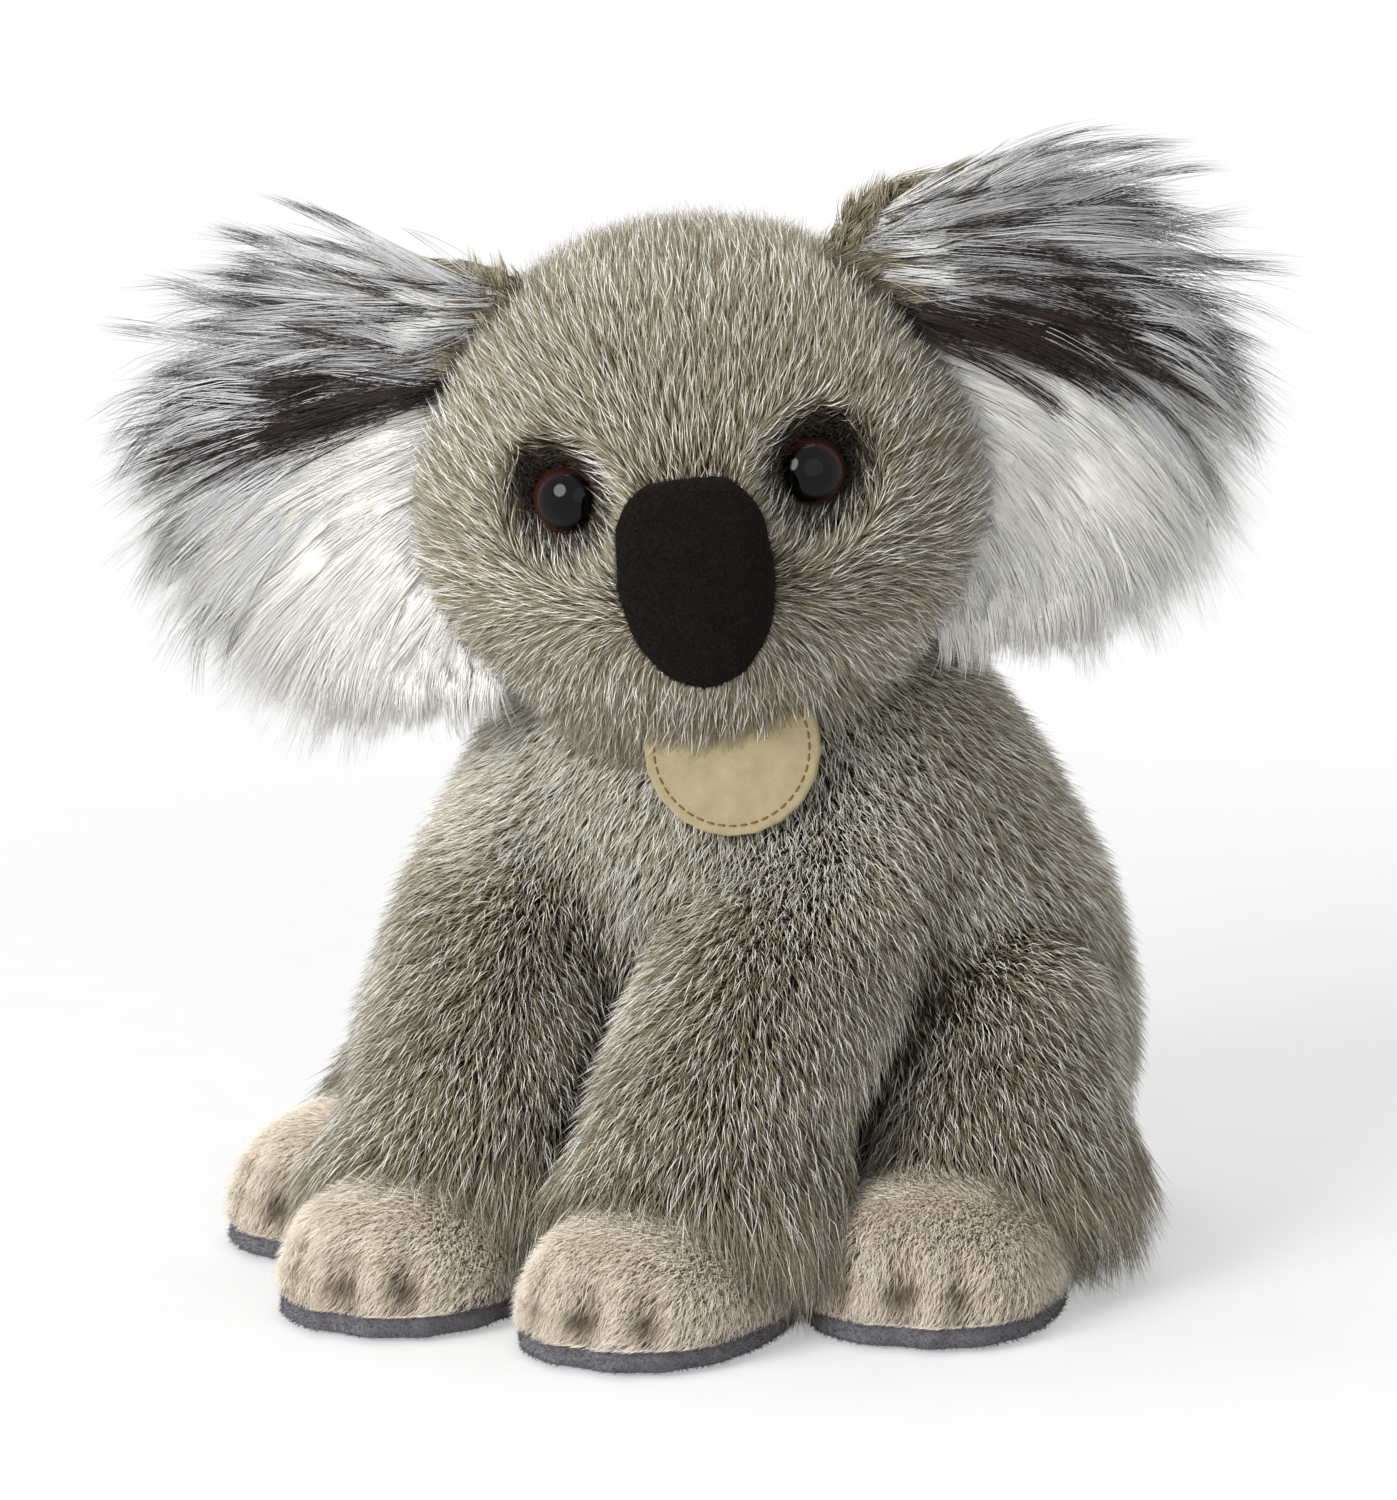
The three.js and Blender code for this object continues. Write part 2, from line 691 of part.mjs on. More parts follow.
function washerSolid(sign) {
  const bore = eye.shankRadius + washer.boreClearance;
  const back = washerFront - washer.thickness;
  const corners = [
    [bore, back],
    [washer.radius, back],
    [washer.radius, washerFront],
    [bore, washerFront],
    [bore, back],
  ];
  return eyeTurned(sign, corners.map(([radius, depth]) => new THREE.Vector2(radius, depth)));
}

// The room for an eye in the head: its own, a straight well out through the pile, and the washer's.
function eyeRoom(sign) {
  const { point, facing } = eyeSeat(sign);
  const at = (offset) => point.clone().addScaledVector(facing, offset);
  const well = rod(at(-eye.dome - eye.rim), at(plush.pile), eye.radius + eye.socketClearance);
  const washerEnds = [at(washerFront - washer.thickness - sewGap), at(washerFront + sewGap)];
  const behind = rod(...washerEnds, washer.radius + sewGap);
  return eyeSolid(sign, sewGap, eye.shankRadius + sewGap).add(well).add(behind);
}

// The nose's frame within the head: its back lies on the muzzle's backing.
const nosePlace = new THREE.Matrix4()
  .makeRotationX(THREE.MathUtils.degToRad(nose.lean))
  .setPosition(headPlace(0, head.halfDepth, -nose.drop, -nose.sink));

function noseForm(grow, deeper = 0) {
  const geometry = new THREE.SphereGeometry(1, detail.nose, detail.turned / 2).rotateX(Math.PI / 2);
  const at = geometry.attributes.position;
  for (let i = 0; i < at.count; i++) {
    const [x, y, z] = [at.getX(i), at.getY(i), at.getZ(i)];
    const depth = y < 0 ? nose.dome + grow : nose.felt + grow + deeper;
    at.setXYZ(i, x * (nose.halfWidth + grow), y * depth, z * (nose.halfHeight + grow));
  }
  return solidOf(geometry.applyMatrix4(nosePlace));
}

// All that lies in front of a plane behind the nose's own back.
const noseAhead = (back) => moved(beyond('y', back, -1), nosePlace);

const pocket = sides
  .map(({ sign }) => eyeRoom(sign))
  .reduce((a, b) => a.add(b), noseForm(sewGap).intersect(noseAhead(sewGap)))
  .add(intoHead(moved(tagRoom(), tagGroup.matrixWorld)));
const headSkin = headForm(0)
  .subtract(headForm(-plushSkin))
  .subtract(bodyClear)
  .subtract(pocket);
const gussetBox = (grow) =>
  box(
    new THREE.Vector3(-gusset.halfWidth - grow, -farAway, gusset.bottom - grow),
    new THREE.Vector3(gusset.halfWidth + grow, farAway, farAway),
  );
add(headGroup, 'head_gusset', headSkin.intersect(gussetBox(0)), plushLook);
for (const { word, sign } of sides) {
  const half = beyond('x', (sign * sewGap) / 2, sign);
  add(headGroup, `head_panel_${word}`, headSkin.intersect(half).subtract(gussetBox(sewGap)), plushLook);
}
const headFill = headForm(-plushSkin - sewGap)
  .subtract(bodyClear)
  .subtract(intoHead(neckForm(sewGap)))
  .subtract(pocket);
add(headGroup, 'head_filling', headFill, fillLook);

const eyeLook = material(colour.eye, 0.08);
const washerLook = material(colour.washer, 0.4);
for (const { word, sign } of sides) {
  add(headGroup, `eye_${word}`, eyeSolid(sign, 0, eye.shankRadius), eyeLook);
  add(headGroup, `eye_washer_${word}`, washerSolid(sign), washerLook);
}

const noseShell = noseForm(0).intersect(noseAhead(0));
add(headGroup, 'nose_cover', noseShell.subtract(noseForm(-nose.felt, overrun)), material(colour.felt));
add(headGroup, 'nose_padding', noseForm(-nose.felt - sewGap).intersect(noseAhead(-sewGap)), fillLook);

// The ears: a dark-tipped outer layer behind a white inner one.

const headClear = headForm(sewGap);
const upward = new THREE.Vector3(0, 0, 1);
for (const { word, sign } of sides) {
  const seamOut = head.halfWidth - ear.seamInset;
  const hinge = new THREE.Vector3(sign * seamOut, earMiddle(seamOut), 0);
  const whole = earForm(sign).subtract(swept(headClear, hinge, upward, -ear.swing, ear.swing));
  add(headGroup, `ear_inner_${word}`, whole.intersect(earSide(sign, -1)), material(colour.earFront));
  add(headGroup, `ear_outer_${word}`, whole.intersect(earSide(sign, 1)), material(colour.earBack));
}

// The tag: two discs on a cord loop through one hole at their top.

add(tagGroup, 'tag_face', tagDisc(-tag.face, tag.face), suedeLook);
add(tagGroup, 'tag_backing', tagDisc(sewGap, tag.backing), suedeLook);
const loop = new THREE.TorusGeometry(tagLoop.radius, tagLoop.cordRadius, detail.small / 2, detail.turned);
add(tagGroup, 'tag_loop', solidOf(loop.rotateY(Math.PI / 2)), material(colour.cord));

export default koala;
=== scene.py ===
"""A sitting plush koala, about 24 cm high: stuffed forms under long shaggy pile, face, paws, tag and studio.

Lengths are metres. The body faces -Y and its left side is towards +X. The head has a frame of its own.
"""

import json
import logging
import math
from dataclasses import dataclass, replace
from enum import Enum
from typing import Callable, Iterable, Sequence

import bmesh
import bpy
import numpy as np
from mathutils import Matrix, Vector
from mathutils.bvhtree import BVHTree


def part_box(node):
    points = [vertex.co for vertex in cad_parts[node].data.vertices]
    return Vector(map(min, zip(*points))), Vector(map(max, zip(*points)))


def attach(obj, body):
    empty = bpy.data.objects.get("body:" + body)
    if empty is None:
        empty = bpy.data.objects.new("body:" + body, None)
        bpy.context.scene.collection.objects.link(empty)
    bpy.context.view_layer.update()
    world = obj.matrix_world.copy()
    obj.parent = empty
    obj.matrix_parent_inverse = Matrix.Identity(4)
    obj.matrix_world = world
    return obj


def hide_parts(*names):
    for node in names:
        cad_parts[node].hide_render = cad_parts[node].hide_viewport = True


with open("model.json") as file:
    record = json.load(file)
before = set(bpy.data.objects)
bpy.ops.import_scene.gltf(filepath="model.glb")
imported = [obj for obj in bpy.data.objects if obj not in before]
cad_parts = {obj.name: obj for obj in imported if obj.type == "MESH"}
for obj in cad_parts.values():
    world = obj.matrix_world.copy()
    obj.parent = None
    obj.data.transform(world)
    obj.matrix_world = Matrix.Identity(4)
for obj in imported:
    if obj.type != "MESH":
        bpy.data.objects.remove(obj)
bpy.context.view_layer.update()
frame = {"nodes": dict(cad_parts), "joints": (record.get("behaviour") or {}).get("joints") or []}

Array = np.ndarray
Material = bpy.types.Material
Piece = bpy.types.Object
Socket = bpy.types.NodeSocket
Pair = tuple[float, float]
Triple = tuple[float, float, float]
Colour = Triple
Stops = tuple[tuple[float, Colour], ...]
Chance = np.random.Generator
# How a solid is made into a skin: the size of its new faces, and how many times it is evened out
Skin = tuple[float, int]

LOG = logging.getLogger("koala")
BAKE_MAP = "OFBake"
MM = 0.001
# Steps on a pile's scale of tones, which runs from 0 to just under 1
TONES = 32
HIGHEST_TONE = 0.999
# The most triangles in one piece of pile
MOST_FACES = 185_000
# How far pile stays off the floor
FLOOR_GAP = 0.6 * MM
DOWN = np.array([0.0, 0.0, -1.0])
UP = np.array([0.0, 0.0, 1.0])


class Side(Enum):
    """The koala's own sides: the sign of X and the word in the names of nodes."""

    LEFT = (1, "left")
    RIGHT = (-1, "right")

    @property
    def sign(self) -> int:
        """1 on the left and -1 on the right."""
        return self.value[0]

    @property
    def word(self) -> str:
        """The word that names of this side end in."""
        return self.value[1]


# Vectors and noise

# What mixes the bits of a hash
CELL_FACTORS = np.array([73856093, 19349663, 83492791])
SEED_FACTOR = 2654435761
MIXING_FACTOR = 1274126177
HIGH_BITS = 13
LOW_BITS = 7
HASH_MASK = 0xFFFF
# The waves in a swirl, and their lengths as shares of the usual one
WAVES = 5
WAVE_LENGTHS = (0.6, 1.6)


def unit(vectors: Array) -> Array:
    """Vectors of length 1 in the same directions."""
    return vectors / np.maximum(np.linalg.norm(vectors, axis=-1, keepdims=True), 1e-12)


def dot(a: Array, b: Array) -> Array:
    """The dot product of each pair of vectors, kept as a column."""
    return (a * b).sum(-1, keepdims=True)


def tangent(vectors: Array, normals: Array) -> Array:
    """The directions of vectors along surfaces with these normals."""
    return unit(vectors - dot(vectors, normals) * normals)


def smoothstep(low: float, high: float | Array, values: Array) -> Array:
    """0 at low and 1 at high, level past them and smooth between. low may be the larger of the two."""
    share = np.clip((values - low) / (high - low), 0, 1)
    return share * share * (3 - 2 * share)


def hashed(cells: Array, seed: int) -> Array:
    """Numbers that look like chance, and are always the same for the same cell and seed.

    Args:
        cells: three whole numbers a row.
        seed: picks other numbers.

    Returns:
        Three numbers from 0 to 1 for each cell.
    """
    mixed = cells.astype(np.int64) @ CELL_FACTORS + seed * SEED_FACTOR
    parts = []
    for turn in range(3):
        mixed = (mixed ^ (mixed >> HIGH_BITS)) * MIXING_FACTOR + turn
        parts.append(((mixed >> LOW_BITS) & HASH_MASK) / HASH_MASK)
    return np.stack(parts, -1)


def hashed_share(numbers: Array) -> Array:
    """Other numbers from 0 to 1, always the same for the same numbers."""
    return (numbers * 7919.0) % 1.0


def clumps(points: Array, cell: float, seed: int) -> tuple[Array, Array]:
    """The nearest of many scattered centres to each point.

    Args:
        points: places, one a row.
        cell: the usual distance between centres.
        seed: picks another scatter.

    Returns:
        The centre nearest to each point, and a number from 0 to 1 that belongs to that centre.
    """
    base = np.floor(points / cell)
    nearest = np.full(len(points), np.inf)
    centres = np.zeros_like(points)
    numbers = np.zeros(len(points))
    for step in np.ndindex(3, 3, 3):
        cells = base + np.array(step) - 1
        places = (cells + hashed(cells, seed)) * cell
        gaps = ((points - places) ** 2).sum(-1)
        closer = gaps < nearest
        nearest[closer] = gaps[closer]
        centres[closer] = places[closer]
        numbers[closer] = hashed(cells[closer], seed + 1)[:, 0]
    return centres, numbers


def swirl(points: Array, wavelength: float, seed: int) -> Array:
    """A smooth field of small vectors.

    Args:
        points: places, one a row.
        wavelength: the usual distance from crest to crest.
        seed: picks another field.

    Returns:
        A vector at each place, about -1 to 1 in each direction.
    """
    rng = np.random.default_rng(seed)
    total = np.zeros_like(points)
    for _ in range(WAVES):
        along = unit(rng.normal(size=3)) * math.tau / (wavelength * rng.uniform(*WAVE_LENGTHS))
        push = unit(rng.normal(size=3))
        total += np.sin(points @ along + rng.uniform(0, math.tau))[:, None] * push
    return total / math.sqrt(WAVES)


# Surfaces

def placed(name: str, data: bpy.types.ID) -> Piece:
    """Puts a new object into the scene.

    Args:
        name: its name.
        data: its mesh, light or camera.

    Returns:
        The object.
    """
    made = bpy.data.objects.new(name, data)
    bpy.context.scene.collection.objects.link(made)
    return made


def drawn(build: bmesh.types.BMesh, name: str) -> bpy.types.Mesh:
    """Turns an edit mesh into a mesh, and frees it.

    Args:
        build: the edit mesh.
        name: the mesh's name.

    Returns:
        The mesh.
    """
    mesh = bpy.data.meshes.new(name)
    build.to_mesh(mesh)
    build.free()
    return mesh


@dataclass
class Surface:
    """A triangle mesh held as arrays: a place a row, and the numbers of three points a face."""

    points: Array
    faces: Array

    def face_normals(self) -> Array:
        """Each triangle's normal, as long as twice its area."""
        a, b, c = (self.points[self.faces[:, i]] for i in range(3))
        return np.cross(b - a, c - a)

    def normals(self) -> Array:
        """Finds the way out of the surface at its points.

        Returns:
            A unit normal at each point, weighted by area.
        """
        total = np.zeros_like(self.points)
        across = self.face_normals()
        for i in range(3):
            np.add.at(total, self.faces[:, i], across)
        return unit(total)

    def spread(self, values: Array, steps: int, share: float = 0.5) -> Array:
        """Values at the points after they even out along the edges.

        Args:
            values: one row for each point.
            steps: how many times each point takes on some of its neighbours' mean.
            share: how much of that mean it takes on.

        Returns:
            The evened values, shaped as they came.
        """
        edges = np.concatenate([self.faces[:, [0, 1]], self.faces[:, [1, 2]], self.faces[:, [2, 0]]])
        count = np.zeros(len(self.points))
        np.add.at(count, edges[:, 0], 1)
        count = np.maximum(count, 1).reshape(-1, *[1] * (values.ndim - 1))
        for _ in range(steps):
            total = np.zeros_like(values)
            np.add.at(total, edges[:, 0], values[edges[:, 1]])
            values = values + share * (total / count - values)
        return values

    def smoothed(self, steps: int) -> "Surface":
        """The surface with its edges and facets smoothed away."""
        return Surface(self.spread(self.points, steps), self.faces)

    def grown(self, distance: float) -> "Surface":
        """The surface moved out along its normals, or in where distance is below zero."""
        return Surface(self.points + self.normals() * distance, self.faces)

    def tree(self) -> BVHTree:
        """A search tree of the triangles."""
        return BVHTree.FromPolygons(self.points.tolist(), self.faces.tolist())

    def depth_of(self, places: Array) -> Array:
        """Measures how deep places lie inside this closed surface.

        Args:
            places: one a row.

        Returns:
            Each place's depth, below zero where it is outside.
        """
        tree = self.tree()
        depths = np.empty(len(places))
        for i, place in enumerate(places.tolist()):
            hit, normal, _, gap = tree.find_nearest(place)
            depths[i] = gap if (Vector(place) - hit).dot(normal) < 0 else -gap
        return depths

    def piece(self, name: str) -> Piece:
        """Makes a smooth-shaded object with this surface.

        Args:
            name: the object's name.

        Returns:
            The object.
        """
        mesh = bpy.data.meshes.new(name)
        mesh.from_pydata(self.points.tolist(), [], self.faces.tolist())
        mesh.shade_smooth()
        return placed(name, mesh)


def surface_of(mesh: bpy.types.Mesh) -> Surface:
    """Reads the triangles of a Blender mesh.

    Args:
        mesh: the mesh.

    Returns:
        Its surface.
    """
    points = np.empty(len(mesh.vertices) * 3)
    mesh.vertices.foreach_get("co", points)
    mesh.calc_loop_triangles()
    faces = np.empty(len(mesh.loop_triangles) * 3, np.int32)
    mesh.loop_triangles.foreach_get("vertices", faces)
    return Surface(points.reshape(-1, 3), faces.reshape(-1, 3))


def joined(surfaces: Sequence[Surface]) -> Surface:
    """Puts surfaces into one, with nothing merged.

    Args:
        surfaces: the surfaces.

    Returns:
        All of them as one.
    """
    starts = np.cumsum([0] + [len(surface.points) for surface in surfaces[:-1]])
    faces = [surface.faces + start for surface, start in zip(surfaces, starts)]
    return Surface(np.concatenate([surface.points for surface in surfaces]), np.concatenate(faces))


def cad(*nodes: str) -> Surface:
    """The solids of some nodes as one surface."""
    return joined([surface_of(frame["nodes"][node].data) for node in nodes])


def remeshed(surface: Surface, voxel: float, smoothing: int) -> Surface:
    """One closed skin round everything that a surface holds.

    Args:
        surface: closed meshes, which may lie a little apart.
        voxel: the size of the new faces. Gaps narrower than this close.
        smoothing: how many times the new skin is evened out.

    Returns:
        The new surface.
    """
    carrier = surface.piece("remesh_carrier")
    modifier = carrier.modifiers.new("skin", "REMESH")
    modifier.mode = "VOXEL"
    modifier.voxel_size = voxel
    graph = bpy.context.evaluated_depsgraph_get()
    made = surface_of(carrier.evaluated_get(graph).to_mesh())
    bpy.data.meshes.remove(carrier.data)
    return made.smoothed(smoothing)


def unit_ball(fineness: int) -> Surface:
    """Makes a ball of radius 1 with even triangles.

    Args:
        fineness: how many times its faces are split.

    Returns:
        The ball.
    """
    build = bmesh.new()
    bmesh.ops.create_icosphere(build, subdivisions=fineness, radius=1)
    mesh = drawn(build, "ball")
    ball = surface_of(mesh)
    bpy.data.meshes.remove(mesh)
    return Surface(unit(ball.points), ball.faces)


def wrapped(surface: Surface, centre: Array, fineness: int, closing: int, evening: int = 3) -> Surface:
    """A ball of even faces drawn onto a form from outside, which closes the pits in it.

    Args:
        surface: the form, all of which is seen from the centre.
        centre: the middle of the ball.
        fineness: how many times the ball's faces are split.
        closing: how many times a pit's skin is pulled up to what is round it.
        evening: how many times the skin is then evened out.

    Returns:
        The wrapped surface.
    """
    ball = unit_ball(fineness)
    tree = surface.tree()
    far = float(np.ptp(surface.points, axis=0).max()) * 2
    reach = np.empty(len(ball.points))
    for i, direction in enumerate(ball.points.tolist()):
        start = Vector(centre) + Vector(direction) * far
        hit = tree.ray_cast(start, -Vector(direction))
        reach[i] = far - hit[3] if hit[0] is not None and hit[3] < far else np.nan
    reach = np.where(np.isnan(reach), np.nanmedian(reach), reach)
    for _ in range(closing):
        reach = np.maximum(reach, ball.spread(reach, 1, 1.0))
    reach = ball.spread(reach, evening)
    return Surface(centre + ball.points * reach[:, None], ball.faces)


def turned_form(profile: Sequence[Pair], spokes: int, base: Array, axis: Array) -> Surface:
    """A form turned about an axis, closed at both ends.

    Args:
        profile: radius and height pairs from the far end to the near end, the first and last with no radius.
        spokes: how many flats it has round.
        base: where the height is zero.
        axis: the way that height grows.

    Returns:
        The surface.
    """
    across = unit(np.cross(UP, axis))
    beside = np.cross(axis, across)
    angles = np.arange(spokes) * math.tau / spokes
    round_about = np.cos(angles)[:, None] * across + np.sin(angles)[:, None] * beside
    inner = profile[1:-1]
    rings = [base + radius * round_about + height * axis for radius, height in inner]
    ends = [base + profile[0][1] * axis, base + profile[-1][1] * axis]
    points = np.concatenate([*rings, ends])
    top, bottom = len(points) - 2, len(points) - 1
    last = (len(inner) - 1) * spokes
    faces = []
    for i in range(spokes):
        j = (i + 1) % spokes
        faces.append((top, i, j))
        for ring in range(len(inner) - 1):
            a, b = ring * spokes + i, ring * spokes + j
            faces += [(a, a + spokes, b + spokes), (a, b + spokes, b)]
        faces.append((last + i, bottom, last + j))
    return Surface(points, np.array(faces))


def tubes(paths: Sequence[Sequence[Array]], radius: float, sides: int = 8) -> Surface:
    """Round closed tubes along paths.

    Args:
        paths: the points along each tube.
        radius: the tubes' radius.
        sides: how many flats each has round.

    Returns:
        All the tubes as one surface.
    """
    helper = [0.31, 0.53, 0.79]
    points, faces = [], []
    for path in paths:
        base = len(points)
        for i, point in enumerate(path):
            along = unit(path[min(i + 1, len(path) - 1)] - path[max(i - 1, 0)])
            across = unit(np.cross(along, helper))
            beside = np.cross(along, across)
            for side in range(sides):
                angle = math.tau * side / sides
                points.append(point + radius * (math.cos(angle) * across + math.sin(angle) * beside))
        last = base + (len(path) - 1) * sides
        for ring in range(base, last, sides):
            for side in range(sides):
                a, b = ring + side, ring + (side + 1) % sides
                faces += [(a, b, b + sides), (a, b + sides, a + sides)]
        near, far = len(points), len(points) + 1
        points += [path[0], path[-1]]
        for side in range(sides):
            other = (side + 1) % sides
            faces += [(near, base + other, base + side), (far, last + side, last + other)]
    return Surface(np.array(points), np.array(faces))


def welded(surface: Surface, grid: float = 1e-6) -> Surface:
    """Makes points that lie together one, and leaves out faces with no area.

    Args:
        surface: the surface.
        grid: how near together points count as one.

    Returns:
        The welded surface.
    """
    cells = np.round(surface.points / grid).astype(np.int64)
    _, first, where = np.unique(cells, axis=0, return_index=True, return_inverse=True)
    faces = where.reshape(-1)[surface.faces]
    a, b, c = faces.T
    return Surface(surface.points[first], faces[(a != b) & (b != c) & (c != a)])


# Pile

# How a fibre is drawn: its sides, and how far the last is turned about itself from the first, in radians
TUBE_SIDES = 3
TUBE_TURN = 7
# Fibres that stand steeper than this take another helper to find what is across them
STEEP = 0.9
# The empty edges of a tone's column and of a fibre's length on the map, as shares
TONE_MARGIN = 0.14
END_MARGIN = 0.02


@dataclass
class Roots:
    """Where strands start on a surface: places on the outside of the pile, with what is known there."""

    places: Array
    normals: Array
    values: dict[str, Array]

    def __len__(self) -> int:
        """How many roots there are."""
        return len(self.places)

    def kept(self, mask: Array) -> "Roots":
        """Only the roots that a mask is true for."""
        values = {name: value[mask] for name, value in self.values.items()}
        return Roots(self.places[mask], self.normals[mask], values)


def scattered(surface: Surface, density: float, weights: Array, rng: Chance, **values: Array) -> Roots:
    """Roots scattered evenly over a surface.

    Args:
        surface: the outside of the pile.
        density: roots to a square millimetre where the weight is 1.
        weights: a share of that density for each point of the surface.
        rng: the source of chance.
        values: one number for each point of the surface, which each root takes over.

    Returns:
        The roots.
    """
    areas = np.linalg.norm(surface.face_normals(), axis=1) / 2 * weights[surface.faces].mean(1)
    count = int(areas.sum() / MM ** 2 * density)
    marks = (np.arange(count) + rng.random(count)) / count
    chosen = np.searchsorted(np.cumsum(areas) / areas.sum(), marks).clip(0, len(areas) - 1)
    first, second = rng.random(count), rng.random(count)
    flip = first + second > 1
    first[flip], second[flip] = 1 - first[flip], 1 - second[flip]
    shares = np.stack([1 - first - second, first, second], 1)
    corners = surface.faces[chosen]
    mixed = {name: (value[corners] * shares).sum(1) for name, value in values.items()}
    places = (surface.points[corners] * shares[:, :, None]).sum(1)
    return Roots(places, unit((surface.normals()[corners] * shares[:, :, None]).sum(1)), mixed)


@dataclass
class Strands:
    """Fibres, each a tapered tube along its path.

    Attributes:
        paths: the points along each fibre, root first, shaped (fibres, points, 3).
        radii: each fibre's radius at its root.
        tones: each fibre's place on its finish's scale of tones, from 0 to 1.
        taper: how much of the radius is lost on the way to the tip, as a share.
    """

    paths: Array
    radii: Array
    tones: Array
    taper: float = 0.75

    def __len__(self) -> int:
        """How many fibres there are."""
        return len(self.paths)

    def pick(self, mask: Array) -> "Strands":
        """The fibres that a mask or a list of numbers names."""
        return Strands(self.paths[mask], self.radii[mask], self.tones[mask], self.taper)

    def faces_each(self) -> int:
        """How many triangles one fibre has."""
        return TUBE_SIDES * (2 * self.paths.shape[1] - 3)

    def above(self, height: float) -> "Strands":
        """The fibres pressed flat where they would reach below a height."""
        return replace(self, paths=np.maximum(self.paths, (-np.inf, -np.inf, height)))

    def laid_over(self, forms: Sequence[Surface], gap: float) -> "Strands":
        """The fibres laid on forms that they would run into.

        Args:
            forms: closed surfaces.
            gap: how far above them the fibres then lie.

        Returns:
            The fibres, with their roots where they were.
        """
        paths = self.paths.copy()
        for form in forms:
            tree = form.tree()
            inside = (paths > form.points.min(0) - gap) & (paths < form.points.max(0) + gap)
            for fibre, step in np.argwhere(inside.all(2)).tolist():
                place = Vector(paths[fibre, step])
                hit, normal, _, _ = tree.find_nearest(place)
                if step and (place - hit).dot(normal) < gap:
                    paths[fibre, step] = hit + normal * gap
        return replace(self, paths=paths)

    def piece(self, name: str) -> Piece:
        """Makes one object that holds the fibres.

        Its map gives a fibre's tone across and the place along the fibre upwards.

        Args:
            name: the object's name.

        Returns:
            The object.
        """
        count, rings = len(self), self.paths.shape[1] - 1
        corners, sizes, across, up = self._pattern(rings)
        each = rings * TUBE_SIDES + 1
        loops = (np.arange(count)[:, None] * each + corners).ravel()
        starts = np.concatenate([[0], np.cumsum(np.tile(sizes, count))[:-1]])
        band = np.clip((self.tones * TONES).astype(int), 0, TONES - 1)
        uv = np.empty((count, len(corners), 2), np.float32)
        uv[:, :, 0] = (band[:, None] + TONE_MARGIN + (1 - 2 * TONE_MARGIN) * across) / TONES
        uv[:, :, 1] = END_MARGIN + (1 - 2 * END_MARGIN) * up
        mesh = bpy.data.meshes.new(name)
        mesh.vertices.add(count * each)
        mesh.vertices.foreach_set("co", self._corners(rings).astype(np.float32).ravel())
        mesh.loops.add(len(loops))
        mesh.loops.foreach_set("vertex_index", loops.astype(np.int32))
        mesh.polygons.add(len(starts))
        mesh.polygons.foreach_set("loop_start", starts.astype(np.int32))
        mesh.update(calc_edges=True)
        mesh.uv_layers.new(name=BAKE_MAP).data.foreach_set("uv", uv.ravel())
        mesh.shade_smooth()
        return placed(name, mesh)

    def _corners(self, rings: int) -> Array:
        """Works out where the corners of every tube lie.

        Args:
            rings: how many rings of corners a fibre has below its tip.

        Returns:
            The corners, ring by ring with the tip last, shaped (fibres, corners, 3).
        """
        count = len(self)
        along = unit(self.paths[:, -1] - self.paths[:, 0])
        helper = np.where(np.abs(along[:, 2:]) < STEEP, [[0.0, 0.0, 1.0]], [[1.0, 0.0, 0.0]])
        across = unit(np.cross(along, helper))
        beside = np.cross(along, across)
        turn = np.linspace(0, TUBE_TURN, count)[:, None] + np.arange(TUBE_SIDES) * math.tau / TUBE_SIDES
        spokes = np.cos(turn)[..., None] * across[:, None] + np.sin(turn)[..., None] * beside[:, None]
        shares = np.arange(rings) / rings
        radii = self.radii[:, None] * (1 - self.taper * shares ** 2)
        sides = self.paths[:, :-1, None] + spokes[:, None] * radii[..., None, None]
        return np.concatenate([sides.reshape(count, rings * TUBE_SIDES, 3), self.paths[:, -1:]], 1)

    @staticmethod
    def _pattern(rings: int) -> tuple[Array, Array, Array, Array]:
        """Lists the faces of one fibre: four-sided ones between its rings, and three-sided ones at its tip.

        Args:
            rings: how many rings of corners it has below its tip.

        Returns:
            The faces' corners, how many each face has, and each corner's place across and up the map.
        """
        corners, sizes, across, up = [], [], [], []
        tip = rings * TUBE_SIDES
        for ring in range(rings):
            low, high = ring / rings, (ring + 1) / rings
            for side in range(TUBE_SIDES):
                start, end = side / TUBE_SIDES, (side + 1) / TUBE_SIDES
                a, b = ring * TUBE_SIDES + side, ring * TUBE_SIDES + (side + 1) % TUBE_SIDES
                if ring < rings - 1:
                    corners += [a, b, b + TUBE_SIDES, a + TUBE_SIDES]
                    across += [start, end, end, start]
                    up += [low, low, high, high]
                    sizes.append(4)
                else:
                    corners += [a, b, tip]
                    across += [start, end, (start + end) / 2]
                    up += [low, low, 1]
                    sizes.append(3)
        return np.array(corners), np.array(sizes), np.array(across), np.array(up)


